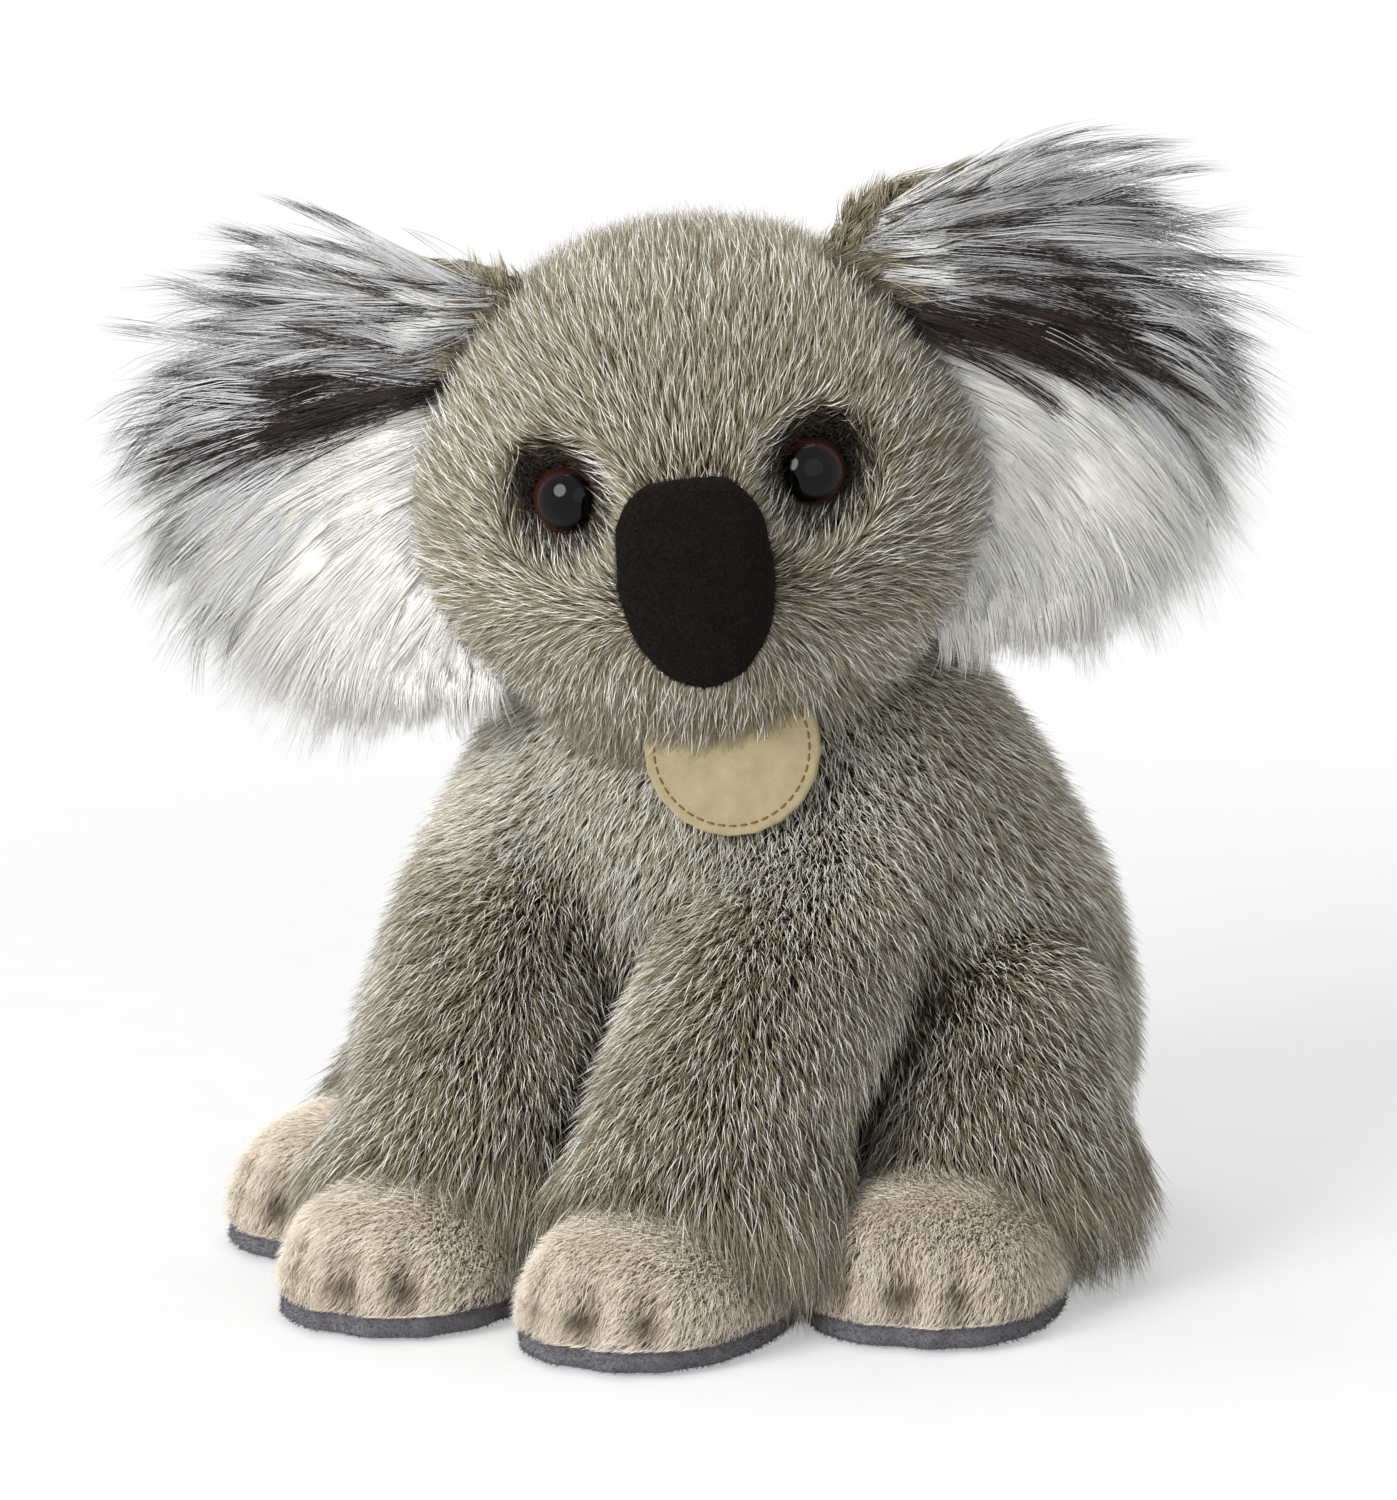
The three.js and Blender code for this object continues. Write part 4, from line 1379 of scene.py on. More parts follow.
@dataclass
class Body:
    """The torso, arms and legs: stuffed cloth forms under one coat of long plush."""

    finishes: Finishes
    head_coat: Surface
    paw_coats: list[Surface]
    padding: Skin = (3 * MM, 4)
    cloth_over_filling: float = 2.2 * MM
    seat: Skin = (1.5 * MM, 4)
    pouch: Skin = (1.5 * MM, 6)
    skin: Skin = (2.0 * MM, 6)
    shoulders: Pair = (76 * MM, 94 * MM)
    crease_width: float = 3.5 * MM
    crease_cut: float = 0.4
    limb_shade: float = -0.08
    # crease_shade is painted shade in the creases between parts.
    crease_shade: float = -0.2
    # chest_shade is painted light on the torso where it faces the front.
    chest_shade: float = 0.26
    chest_facing: Pair = (0.1, 0.7)
    cuff: float = 1.4
    cuff_heights: Pair = (42 * MM, 26 * MM)
    over_paws: float = 0.8 * MM
    under_head_pile: float = 5 * MM
    under_paw_pile: float = 8 * MM
    underside: float = 5 * MM
    underside_facing: float = -0.4
    flare: float = 0.3
    waviness: float = 0.35
    wave: float = 38 * MM
    plush: Plush = Plush()

    def parts(self) -> dict[str, list[str]]:
        """Lists what the coat covers.

        Returns:
            The solids of each part, its filling last.
        """
        parts = {"torso": ["chest_panel", "back_panel_left", "back_panel_right", "torso_filling"]}
        for kind in ("arm", "leg"):
            for side in Side:
                parts[f"{kind}_{side.word}"] = nodes_of(kind, side, "skin", "filling")
        return parts

    def build(self) -> None:
        """Makes the stuffed forms, the seat and the pile."""
        parts = self.parts()
        for part, (*skins, filling) in parts.items():
            slot = "body_plush" if part == "torso" else "limb_plush"
            backing = replace(BACKING_CLOTH, name=f"{slot}_backing", slot=slot)
            padding = remeshed(cad(filling), *self.padding)
            cloth = padding.grown(self.cloth_over_filling).piece(f"{part}_cloth")
            self.finishes.dress(cloth, backing, nodes=skins, fill=0.85)
            wadding = padding.piece(f"{part}_wadding")
            self.finishes.dress(wadding, WADDING, nodes=[filling], fill=0.85)
        base = remeshed(cad("seat_panel"), *self.seat).piece("seat_cloth")
        self.finishes.dress(base, BACKING_CLOTH, nodes=["seat_panel"], fill=0.5)
        pouch = remeshed(cad("seat_pellet_pouch"), *self.pouch).piece("pellet_pouch")
        self.finishes.dress(pouch, POUCH_CLOTH, nodes=["seat_pellet_pouch"], fill=0.8)
        self.cover(parts)

    def cover(self, parts: dict[str, list[str]]) -> None:
        """Grows the pile, part by part, on one skin round them all.

        None grows on the underside, nor deep inside the head's or a paw's pile.

        Args:
            parts: the solids of each part.
        """
        everything = cad("seat_panel", *(node for nodes in parts.values() for node in nodes))
        coat = remeshed(everything, *self.skin)
        above = smoothstep(*self.shoulders, coat.points[:, 2])
        eased = coat.smoothed(steps=40).points
        coat = Surface(coat.points + above[:, None] * (eased - coat.points), coat.faces)
        nearest, crease, limb = self.seams(coat, parts, 1 - above)
        facing = smoothstep(*self.chest_facing, -coat.normals()[:, 1]) * (1 - limb)
        # Painted shade darkens the pile in the creases between parts, painted light lightens the torso where
        # it faces the front, and the limbs take a darker tone.
        shade = limb * self.limb_shade + crease * self.crease_shade + facing * self.chest_shade
        cuffs = self.cuff * limb * smoothstep(*self.cuff_heights, coat.points[:, 2])
        length = (1 - self.crease_cut * crease) * (1 + cuffs)
        bare = coat.points[:, 2] < self.underside * (coat.normals()[:, 2] < self.underside_facing)
        hidden = [paw_coat.depth_of(coat.points) > self.under_paw_pile for paw_coat in self.paw_coats]
        hidden.append(self.head_coat.depth_of(coat.points) > self.under_head_pile)
        shown = ~(np.any(hidden, 0) | bare)
        for number, part in enumerate(parts):
            rng = np.random.default_rng(100 + number)
            weights = (nearest == number) * shown.astype(float)
            finish = BODY_PLUSH if part == "torso" else LIMB_PLUSH
            grown = self.plush.grow(coat, weights, length, shade, self.comb, rng)
            for kind, strands in grown.items():
                laid = strands.laid_over(self.paw_coats, self.over_paws)
                self.finishes.lay(laid, f"{part}_{kind}", finish)

    def seams(
        self, coat: Surface, parts: dict[str, list[str]], below: Array
    ) -> tuple[Array, Array, Array]:
        """Finds where the coat passes from part to part.

        Args:
            coat: the outside of the pile.
            parts: the solids of each part.
            below: 1 at points below the shoulders, and 0 at points above them.

        Returns:
            The number of the part nearest to each point, how near the point is to a crease, and how much of
            it belongs to a limb, both from 0 to 1.
        """
        places = coat.points.tolist()
        gaps = []
        for nodes in parts.values():
            tree = cad(*nodes).tree()
            gaps.append([tree.find_nearest(place)[3] for place in places])
        nearest = np.argmin(np.array(gaps), 0)
        first, second = np.sort(np.array(gaps), 0)[:2]
        nearness = np.exp(-(((second - first) / self.crease_width) ** 2))
        crease = coat.spread(nearness, steps=2) * below
        limb = coat.spread((nearest > 0).astype(float), steps=14) * below
        return nearest, crease, limb

    def comb(self, places: Array, normals: Array) -> Array:
        """The way that the pile lies: down the body, a little outwards and in waves."""
        way = DOWN + self.flare * unit(places * (1, 1, 0))
        return tangent(way + self.waviness * swirl(places, self.wave, seed=3), normals)


HEAD_PANELS = ("head_gusset", "head_panel_left", "head_panel_right")


@dataclass
class Head:
    """The stuffed head under its plush, with the eyes, nose and their surrounds.

    Its own axes start between the ears. Pairs but outer_way are where something starts and where it is full.
    """

    finishes: Finishes
    place: Place
    pile_depth: float = 7.0 * MM
    padding: Skin = (2 * MM, 4)
    cloth_gap: float = 0.4 * MM
    socket_slope: float = 0.7
    socket_behind: float = -20 * MM
    chin: float = 1.15
    chin_heights: Pair = (-34 * MM, -48 * MM)
    chin_front: Pair = (20 * MM, -10 * MM)
    nose_share: float = 0.45
    nose_reach: Pair = (-1 * MM, 10 * MM)
    nose_clear: float = 0.2 * MM
    nose_shade: float = 0.12
    nose_shade_width: float = 6 * MM
    eye_share: float = 0.4
    eye_reach: Pair = (0, 5 * MM)
    eye_clear: float = -0.8 * MM
    eye_shade: float = -0.46
    eye_shade_from: float = 0.5 * MM
    eye_shade_width: float = 4.5 * MM
    outer_way: Pair = (0.8, 0.6)
    outer_reach: float = 2.5
    outer_turn: Pair = (-0.3, 0.7)
    lash_width: float = 4.0 * MM
    away: Triple = (0.0, 0.85, 0.5)
    behind: float = 1.5
    behind_reach: Pair = (0, 40 * MM)
    low: float = 0.75
    low_heights: Pair = (-5 * MM, -35 * MM)
    waviness: float = 0.3
    wave: float = 34 * MM
    parting: float = 0.6
    parting_width: float = 8 * MM
    plush: Plush = Plush(
        replace(UNDERFUR, density=2.2, radius=0.11 * MM, gather=0.14, stray=0.4 * MM),
        replace(FROST, density=0.46, gather=0.05, stray=0.4 * MM),
    )
    lashes: Pile = Pile(
        density=8.0, depth=2.8 * MM, rise=3.6 * MM, slide=1.2 * MM, spread=0.35, radius=0.08 * MM,
        gather=0.1, tuft=2.0 * MM, stray=0.4 * MM,
    )

    def __post_init__(self) -> None:
        """Draws the outside of the head's pile round its panels."""
        middle = self.place.world(np.array([0, 4.5 * MM, 0]))
        self.eyes = [Eye(self.finishes, side, self.place) for side in Side]
        coat = wrapped(cad(*HEAD_PANELS, "head_filling"), middle, fineness=6, closing=60)
        self.coat = self.dipped(coat, height=0.4 * MM, width=14 * MM)

    def dipped(self, surface: Surface, height: float, width: float) -> Surface:
        """The surface pressed down where it would lie over an eye.

        Args:
            surface: a skin round the head.
            height: how far above the eye's rim it may lie there, from where it slopes up.
            width: how far out from the rim this reaches.

        Returns:
            The pressed surface.
        """
        points = surface.points.copy()
        for eye in self.eyes:
            offsets = points - eye.middle
            above = offsets @ eye.axis
            across = np.linalg.norm(offsets - above[:, None] * eye.axis, axis=1)
            near = 1 - smoothstep(eye.radius + width / 2, eye.radius + width, across)
            allowed = height + self.socket_slope * np.maximum(across - eye.radius, 0)
            press = np.where(above > self.socket_behind, np.maximum(above - allowed, 0), 0)
            points -= (near * press)[:, None] * eye.axis
        return Surface(points, surface.faces)

    def build(self) -> None:
        """Makes the nose, eyes, cloth, padding, pile and the eyes' dark surrounds."""
        nose = Nose(self.finishes, self.place)
        nose.build()
        for eye in self.eyes:
            eye.build()
        to_nose = -nose.form.depth_of(self.coat.points)
        to_middles = [np.linalg.norm(self.coat.points - eye.middle, axis=1) for eye in self.eyes]
        to_eyes = np.min(to_middles, 0) - self.eyes[0].radius
        near_nose = self.nose_share + (1 - self.nose_share) * smoothstep(*self.nose_reach, to_nose)
        near_eyes = self.eye_share + (1 - self.eye_share) * smoothstep(*self.eye_reach, to_eyes)
        length = np.minimum(near_nose, near_eyes)
        sunk = (self.pile_depth * length + self.cloth_gap)[:, None]
        inward = Surface(self.coat.points - self.coat.normals() * sunk, self.coat.faces)
        cloth = self.dipped(inward.smoothed(steps=2), height=-2.4 * MM, width=6 * MM)
        self.finishes.dress(cloth.piece("head_cloth"), BACKING_CLOTH, nodes=HEAD_PANELS, fill=0.9)
        wadding = remeshed(cad("head_filling"), *self.padding).piece("head_wadding")
        self.finishes.dress(wadding, WADDING, nodes=["head_filling"], fill=0.9)
        self.cover(length, to_nose, to_eyes)
        for side in Side:
            washer = frame["nodes"][f"eye_washer_{side.word}"]
            washer.data.materials.clear()
            washer.data.materials.append(self.finishes.material(WASHER_PLASTIC))

    def cover(self, length: Array, to_nose: Array, to_eyes: Array) -> None:
        """Grows the pile, longer at the chin and darker by the eyes and the nose, and the eyes' surrounds.

        Args:
            length: a share of the pile's usual length at each point of the coat.
            to_nose: how far each point is from the nose.
            to_eyes: how far each point is from the nearer eye's rim.
        """
        local = self.place.local(self.coat.points)
        low, front = smoothstep(*self.chin_heights, local[:, 2]), smoothstep(*self.chin_front, local[:, 1])
        length = length * (1 + self.chin * (low * front))
        outer = np.max([self.outer_share(eye) for eye in self.eyes], 0)
        eye_shade_to = (1 + outer) * self.eye_shade_width
        darkened = self.eye_shade * (1 - smoothstep(self.eye_shade_from, eye_shade_to, to_eyes))
        shade = darkened - self.nose_shade * (1 - smoothstep(0, self.nose_shade_width, to_nose))
        clear = (to_nose > self.nose_clear) & (to_eyes > self.eye_clear)
        rng = np.random.default_rng(7)
        grown = self.plush.grow(self.coat, clear.astype(float), length, shade, self.comb, rng)
        for kind, strands in grown.items():
            self.finishes.lay(strands, f"head_{kind}", BODY_PLUSH)
        ring = (to_eyes > self.eye_clear) & (to_eyes < self.lash_width)
        roots = scattered(self.coat, self.lashes.density, ring.astype(float), rng)
        way = self.comb(roots.places, roots.normals)
        tones = rng.uniform(0, 0.1, len(roots))
        self.finishes.lay(self.lashes.strands(roots, way, tones, rng), "eye_surrounds", BODY_PLUSH)

    def outer_share(self, eye: "Eye") -> Array:
        """Finds the dark patch beside an eye.

        Args:
            eye: the eye.

        Returns:
            How far each point of the coat lies towards the eye's outer and upper side, from 0 to 1.
        """
        offsets = self.coat.points - eye.middle
        aside, up = self.outer_way
        outward = self.place.turned(eye.side.sign * aside, 0.0, up)
        near = np.linalg.norm(offsets, axis=1) < self.outer_reach * eye.radius
        return near * smoothstep(*self.outer_turn, unit(offsets) @ outward)

    def comb(self, places: Array, normals: Array) -> Array:
        """The way that the pile lies: away from the mouth and the eyes, and down the back of the head.

        Args:
            places: roots, one a row.
            normals: the way out of the coat at each.

        Returns:
            The way at each root.
        """
        local = self.place.local(places)
        behind = smoothstep(*self.behind_reach, local[:, 1])[:, None]
        low = smoothstep(*self.low_heights, local[:, 2])[:, None]
        flow = self.place.turned(*self.away) + DOWN * (self.behind * behind + self.low * low)
        flow = flow + self.waviness * swirl(places, self.wave, seed=8)
        for eye in self.eyes:
            offsets = places - eye.middle
            from_eye = np.linalg.norm(offsets, axis=1)
            near = 1 - smoothstep(eye.radius, eye.radius + self.parting_width, from_eye)
            flow = flow + self.parting * near[:, None] * unit(offsets)
        return tangent(flow, normals)


@dataclass
class Eye:
    """A domed safety eye: dark and glossy with a thin brown ring, on its shank."""

    finishes: Finishes
    side: Side
    place: Place
    outward: float = 0.42
    upward: float = 0.105
    slab: float = 4 * MM
    spokes: int = 64
    rings: int = 16
    shank: float = 2.2 * MM
    lip: float = 1.2 * MM
    bevel_in: float = 0.4 * MM
    bevel_back: float = 0.3 * MM
    ring: float = 1.7 * MM
    squint: float = 0.16
    ring_up: float = 0.05

    def __post_init__(self) -> None:
        """Measures the eye's solid: its axis, the end of its shank, its radius, its rim and its front."""
        points = cad(f"eye_{self.side.word}").points
        aside = self.side.sign * math.sin(self.outward)
        axis = unit(self.place.turned(aside, -math.cos(self.outward), self.upward))
        for _ in range(20):
            along = points @ axis
            front = points[along > along.max() - self.slab]
            back = points[along < along.min() + self.slab]
            axis = unit(front.mean(0) - back.mean(0))
        along = points @ axis
        self.base = points[along < along.min() + 1 * MM].mean(0)
        offsets = points - self.base
        heights = offsets @ axis
        reach = np.linalg.norm(offsets - heights[:, None] * axis, axis=1)
        self.axis, self.radius = axis, float(reach.max())
        rim = heights[reach > self.radius - 0.05 * MM]
        self.rim_at, self.front = float(rim.max()), float(heights.max())
        self.middle = self.base + axis * self.rim_at

    def build(self) -> None:
        """Makes the eye as one turned form: a dome, a lip with a bevel, and the shank."""
        dome = self.front - self.rim_at
        profile = [(0.0, self.front)]
        for step in range(1, self.rings + 1):
            angle = math.pi / 2 * step / self.rings
            profile.append((self.radius * math.sin(angle), self.rim_at + dome * math.cos(angle)))
        behind = self.rim_at - self.lip
        profile += [(self.radius, behind), (self.radius - self.bevel_in, behind - self.bevel_back)]
        profile += [(self.shank, behind - self.bevel_back), (self.shank, 0.0), (0.0, 0.0)]
        facing = self.place.turned(-self.side.sign * self.squint, -1.0, self.ring_up)
        finish = GlossFinish(
            f"{self.side.word}_eye_gloss", "eye_plastic", centre=tuple(self.middle),
            facing=tuple(unit(facing)), inner=self.radius - self.ring, outer=self.radius - self.ring / 2,
        )
        piece = turned_form(profile, self.spokes, self.base, self.axis).piece(f"{self.side.word}_eye")
        self.finishes.dress(piece, finish, nodes=[f"eye_{self.side.word}"])


@dataclass
class Nose:
    """The padded oval of black felt over the muzzle."""

    finishes: Finishes
    place: Place
    skin: Skin = (0.8 * MM, 110)
    grown: float = 1.3 * MM
    shoulders: float = 0.13
    front: float = 0.35
    fuzz: Pile = Pile(
        density=5.0, depth=0.1 * MM, rise=0.45 * MM, slide=0.9 * MM, spread=0.4, radius=0.055 * MM,
        gather=0.3, tuft=1 * MM, stray=0.3 * MM,
    )
    nodes: tuple[str, ...] = ("nose_cover", "nose_padding")

    def __post_init__(self) -> None:
        """Draws the felt's form, with the oval's two upper corners drawn out."""
        form = remeshed(cad(*self.nodes), *self.skin).grown(self.grown)
        local = self.place.local(form.points)
        low, high = local.min(0), local.max(0)
        centre, half = (low + high) / 2, (high - low) / 2
        across, up = (local[:, 0] - centre[0]) / half[0], (local[:, 2] - centre[2]) / half[2]
        corner = 4 * across ** 2 * up ** 2 * self.shoulders * smoothstep(-0.2, 0.3, up)
        local[:, [0, 2]] += (local - centre)[:, [0, 2]] * corner[:, None]
        self.form = Surface(self.place.world(local), form.faces)

    def build(self) -> None:
        """Makes the felt and its fuzz."""
        self.finishes.dress(self.form.piece("nose"), NOSE_FELT, nodes=self.nodes, fill=0.7)
        rng = np.random.default_rng(21)
        roots = scattered(self.form, self.fuzz.density, np.ones(len(self.form.points)), rng)
        back = roots.normals @ self.place.axes[1]
        self.finishes.lay(self.fuzz.matted(roots.kept(back < self.front), rng), "nose_fuzz", NOSE_FUZZ)


@dataclass(frozen=True)
class Fan:
    """Which way an ear's hairs leave it, by their height on it, and how far they droop on their way.

    Attributes:
        heights: places up the ear, from the seam's middle.
        angles: the way that hairs there start, in degrees above straight out.
        droop: degrees that a hair turns down from its root to its tip.
        streak: the height of the dark streak's middle at the seam.
        patch: how wide the short plush is beside the top of the head.
        highest: where the highest hairs start.
        streak_half: half the streak's width at the seam.
        fringe_from: how far above the streak the dark fringe's lowest hairs start, below zero for under it.
    """

    heights: tuple[float, ...]
    angles: tuple[float, ...]
    droop: float
    streak: float
    patch: float
    highest: float
    streak_half: float
    fringe_from: float


FANS = {
    Side.RIGHT: Fan(
        heights=(-35 * MM, -16 * MM, 5 * MM, 27 * MM, 41 * MM, 55 * MM), angles=(-76, -54, -24, -2, 14, 36),
        droop=20, streak=27 * MM, patch=5 * MM, highest=48 * MM, streak_half=2.2 * MM, fringe_from=-21 * MM,
    ),
    Side.LEFT: Fan(
        heights=(-35 * MM, -20 * MM, 10 * MM, 32 * MM, 45 * MM, 58 * MM),
        angles=(-82, -74, -42, -17, 6, 28), droop=30, streak=31 * MM, patch=8 * MM, highest=54 * MM,
        streak_half=3.4 * MM, fringe_from=-12 * MM,
    ),
}


class Zone(Enum):
    """Where on an ear one kind of hair grows."""

    LOWER = "below the dark streak"
    UPPER = "above it"
    STREAK = "along it"
    FRINGE = "round its far end"
    ROOT = "beside the top of the head"
    ALL = "everywhere"


@dataclass(frozen=True)
class Hair:
    """One kind of hair on an ear.

    Attributes:
        name: the word for it in the names of its pieces.
        zone: where it grows.
        count: how many hairs there would be if it grew everywhere.
        reach: how far the tips come, as shares of the way to the ear's outline.
        tones: the range of its tones.
        radius: the hairs' radius at the root.
        lock: the usual distance between locks.
        gather: how far the tips of a lock draw together, as a share.
        lift: how far the hairs stand off the ear in the middle of their way.
        droop: degrees that they may turn down besides what the fan says.
        sway: degrees between the ways that neighbouring locks may take.
        turn: degrees that they all start above what the fan says.
        points: points along each hair.
        mixed: how much of the spread in length is from hair to hair, as a share, and not from lock to lock.
        shortest: the usual length of the shortest hairs.
    """

    name: str
    zone: Zone
    count: int
    reach: Pair
    tones: Pair
    radius: float
    lock: float
    gather: float
    lift: float
    droop: float = 0.0
    sway: float = 24.0
    turn: float = 0.0
    points: int = 7
    mixed: float = 0.35
    shortest: float = 15 * MM


ROOT_HAIR = Hair(
    "root", Zone.ROOT, 15000, reach=(0.12, 0.2), tones=(0.4, 0.62), radius=0.12 * MM, lock=3 * MM,
    gather=0.15, lift=3 * MM, sway=70, turn=40, points=3, shortest=7 * MM,
)
EAR_HAIRS = (
    Hair(
        "cream", Zone.LOWER, 24000, reach=(0.45, 1.1), tones=(0.9, 1.0), radius=0.105 * MM, lock=3.5 * MM,
        gather=0.22, lift=5 * MM, sway=9, points=5, mixed=0.8,
    ),
    Hair(
        "wisp", Zone.LOWER, 2600, reach=(0.95, 1.32), tones=(0.88, 1.0), radius=0.07 * MM, lock=4.5 * MM,
        gather=0.93, lift=6 * MM, sway=26, points=6, mixed=0.3,
    ),
    Hair(
        "silver", Zone.UPPER, 20000, reach=(0.3, 0.7), tones=(0.8, 0.96), radius=0.1 * MM, lock=4 * MM,
        gather=0.3, lift=5 * MM, sway=14, points=5, mixed=0.75,
    ),
    Hair(
        "tipped", Zone.UPPER, 4200, reach=(0.62, 1.3), tones=(0.29, 0.42), radius=0.078 * MM, lock=5 * MM,
        gather=0.96, lift=8 * MM, sway=42, mixed=0.2,
    ),
    Hair(
        "black", Zone.UPPER, 2800, reach=(0.3, 1.0), tones=(0.0, 0.16), radius=0.06 * MM, lock=2.6 * MM,
        gather=0.8, lift=8.5 * MM, sway=34,
    ),
    Hair(
        "streak", Zone.STREAK, 10500, reach=(0.3, 1.24), tones=(0.0, 0.12), radius=0.09 * MM, lock=3.0 * MM,
        gather=0.8, lift=9 * MM, droop=12.0, sway=20,
    ),
    Hair(
        "fringe", Zone.FRINGE, 3400, reach=(0.82, 1.32), tones=(0.34, 0.44), radius=0.085 * MM,
        lock=4.5 * MM, gather=0.96, lift=7 * MM, droop=64.0, sway=42, mixed=0.2,
    ),
    ROOT_HAIR,
)
EAR_BACK_HAIRS = (
    Hair(
        "plush", Zone.ALL, 9000, reach=(0.2, 0.5), tones=(0.3, 0.6), radius=0.16 * MM, lock=5 * MM,
        gather=0.3, lift=5 * MM, points=3,
    ),
    Hair(
        "grey", Zone.UPPER, 3600, reach=(0.6, 1.05), tones=(0.4, 0.5), radius=0.09 * MM, lock=3.4 * MM,
        gather=0.88, lift=5 * MM, sway=36, points=6,
    ),
    ROOT_HAIR,
)


@dataclass
class Ear:
    """A broad ear: two backed cloths with very long hair that fans out from the seam on the head.

    Its own frame has X straight out from the head's seam, Y to the back and Z up.
    """

    finishes: Finishes
    side: Side
    place: Place
    seam: float = 52 * MM
    sweep: float = 0.341
    outline_out: float = 25 * MM
    outline_up: float = 8 * MM
    half_reach: float = 42 * MM
    half_height: float = 54 * MM
    cloth_out: float = 13 * MM
    cloth_half_out: float = 19 * MM
    cloth_half_up: float = 34 * MM
    cloth_half_thick: float = 1.3 * MM
    cloth_layer: float = 1.8 * MM
    head_radius: float = 50 * MM
    head_height: float = 56 * MM
    root_reach: float = 31 * MM
    root_crown: float = 2 * MM
    inmost: float = -24 * MM
    inmost_below: float = -8 * MM
    corner: float = 43 * MM
    lowest: float = -32 * MM
    streak_growth: float = 0.12
    streak_core: float = 0.6
    longest: float = 58 * MM
    droop_least: float = 0.5
    wander: float = 1.4
    droop_mixed: float = 0.1
    lift_least: float = 0.3
    root_lift: float = 2.5 * MM
    stray: float = 0.8 * MM
    lock_stray: float = 9 * MM

    def build(self) -> None:
        """Makes both layers of cloth and their hair."""
        body = f"{self.side.word}_ear"
        layers = (("inner", True, EAR_FRONT, EAR_HAIRS), ("outer", False, EAR_BACK, EAR_BACK_HAIRS))
        for layer, front, finish, kinds in layers:
            backing = replace(EAR_CLOTH, name=f"{finish.name}_backing", slot=finish.slot)
            cloth = self.cloth(front).piece(f"{body}_{layer}_cloth")
            self.finishes.dress(cloth, backing, body, nodes_of("ear", self.side, layer), fill=0.4)
            for number, kind in enumerate(kinds):
                rng = np.random.default_rng(40 + 100 * number + 10 * self.side.sign + front)
                look = EAR_BACK_PLUSH if kind.zone in (Zone.ALL, Zone.ROOT) else finish
                name = f"{body}_{layer}_{kind.name}_hair"
                self.finishes.lay(self.hair(kind, front, rng), name, look, body)

    def to_world(self, points: Array) -> Array:
        """The ear's own points as the frame sees them."""
        shifted = (points + (self.seam, 0, 0)) * (self.side.sign, 1, 1)
        return self.place.world(shifted)

    def cloth(self, front: bool) -> Surface:
        """Makes a thin lens of cloth, swept back like the ear.

        Args:
            front: whether it is the ear's front layer.

        Returns:
            The lens.
        """
        rings, spokes = 10, 48
        layer = -self.cloth_layer if front else self.cloth_layer
        points, faces = [], []
        for sign in (-1, 1):
            for ring in range(rings + 1):
                share = ring / rings
                thickness = self.cloth_half_thick * math.sqrt(max(1 - share ** 2, 0))
                for spoke in range(spokes):
                    angle = math.tau * spoke / spokes
                    out = self.cloth_out + self.cloth_half_out * share * math.cos(angle)
                    up = self.outline_up + self.cloth_half_up * share * math.sin(angle)
                    points.append((out, self.sweep * out + layer + sign * thickness, up))
        for skin, flip in ((0, False), ((rings + 1) * spokes, True)):
            for ring in range(skin, skin + rings * spokes, spokes):
                for spoke in range(spokes):
                    a, b = ring + spoke, ring + (spoke + 1) % spokes
                    quad = (a, b, b + spokes, a + spokes)
                    quad = quad[::-1] if flip else quad
                    faces += [(quad[0], quad[1], quad[2]), (quad[0], quad[2], quad[3])]
        faces = np.array(faces)
        if self.side is Side.LEFT:
            faces = faces[:, ::-1]
        return welded(Surface(self.to_world(np.array(points)), faces))

    def to_outline(self, out: Array, up: Array, angle: Array) -> Array:
        """Measures the way to the ear's outline, which is an oval.

        Args:
            out: how far out from the seam each place lies.
            up: how far up each place lies.
            angle: the way to go from each, in radians above straight out.

        Returns:
            How far it is to the outline.
        """
        x, z = (out - self.outline_out) / self.half_reach, (up - self.outline_up) / self.half_height
        dx, dz = np.cos(angle) / self.half_reach, np.sin(angle) / self.half_height
        a, b, c = dx ** 2 + dz ** 2, x * dx + z * dz, x ** 2 + z ** 2 - 1
        return (-b + np.sqrt(np.maximum(b ** 2 - a * c, 0))) / a

    def roots(self, kind: Hair, rng: Chance) -> tuple[Array, Array]:
        """Where one kind of hair starts, out from the seam and up.

        Args:
            kind: the hair.
            rng: the source of chance.

        Returns:
            How far out and how far up each root lies.
        """
        fan = FANS[self.side]
        up = rng.uniform(self.lowest, fan.highest, kind.count)
        curve = np.sqrt(np.clip(1 - (up / self.head_height) ** 2, 0, 1))
        limit = np.where(up > 0, self.inmost + np.maximum(up - self.corner, 0), self.inmost_below)
        inner = np.maximum(self.head_radius * curve - self.seam, limit)
        span = (up - self.outline_up) / (fan.highest - self.outline_up + self.root_crown)
        outer = self.root_reach * np.sqrt(np.clip(1 - span ** 2, 0, 1))
        out = inner + (outer - inner) * rng.random(kind.count)
        growth = self.streak_growth * np.clip(out, 0, None)
        above, half = up - fan.streak + growth, fan.streak_half + growth
        ragged = above + rng.normal(0, 0.8 * MM, kind.count)
        patch = fan.patch * smoothstep(18 * MM, 34 * MM, up)
        long_from = inner + patch * rng.uniform(0.6, 1, kind.count)
        if kind.zone is Zone.LOWER:
            keep = ragged < -half * self.streak_core
        elif kind.zone is Zone.UPPER:
            keep = (ragged > -half * self.streak_core) & (out > long_from)
        elif kind.zone is Zone.STREAK:
            keep = rng.random(kind.count) < np.exp(-(above / half) ** 2)
        elif kind.zone is Zone.FRINGE:
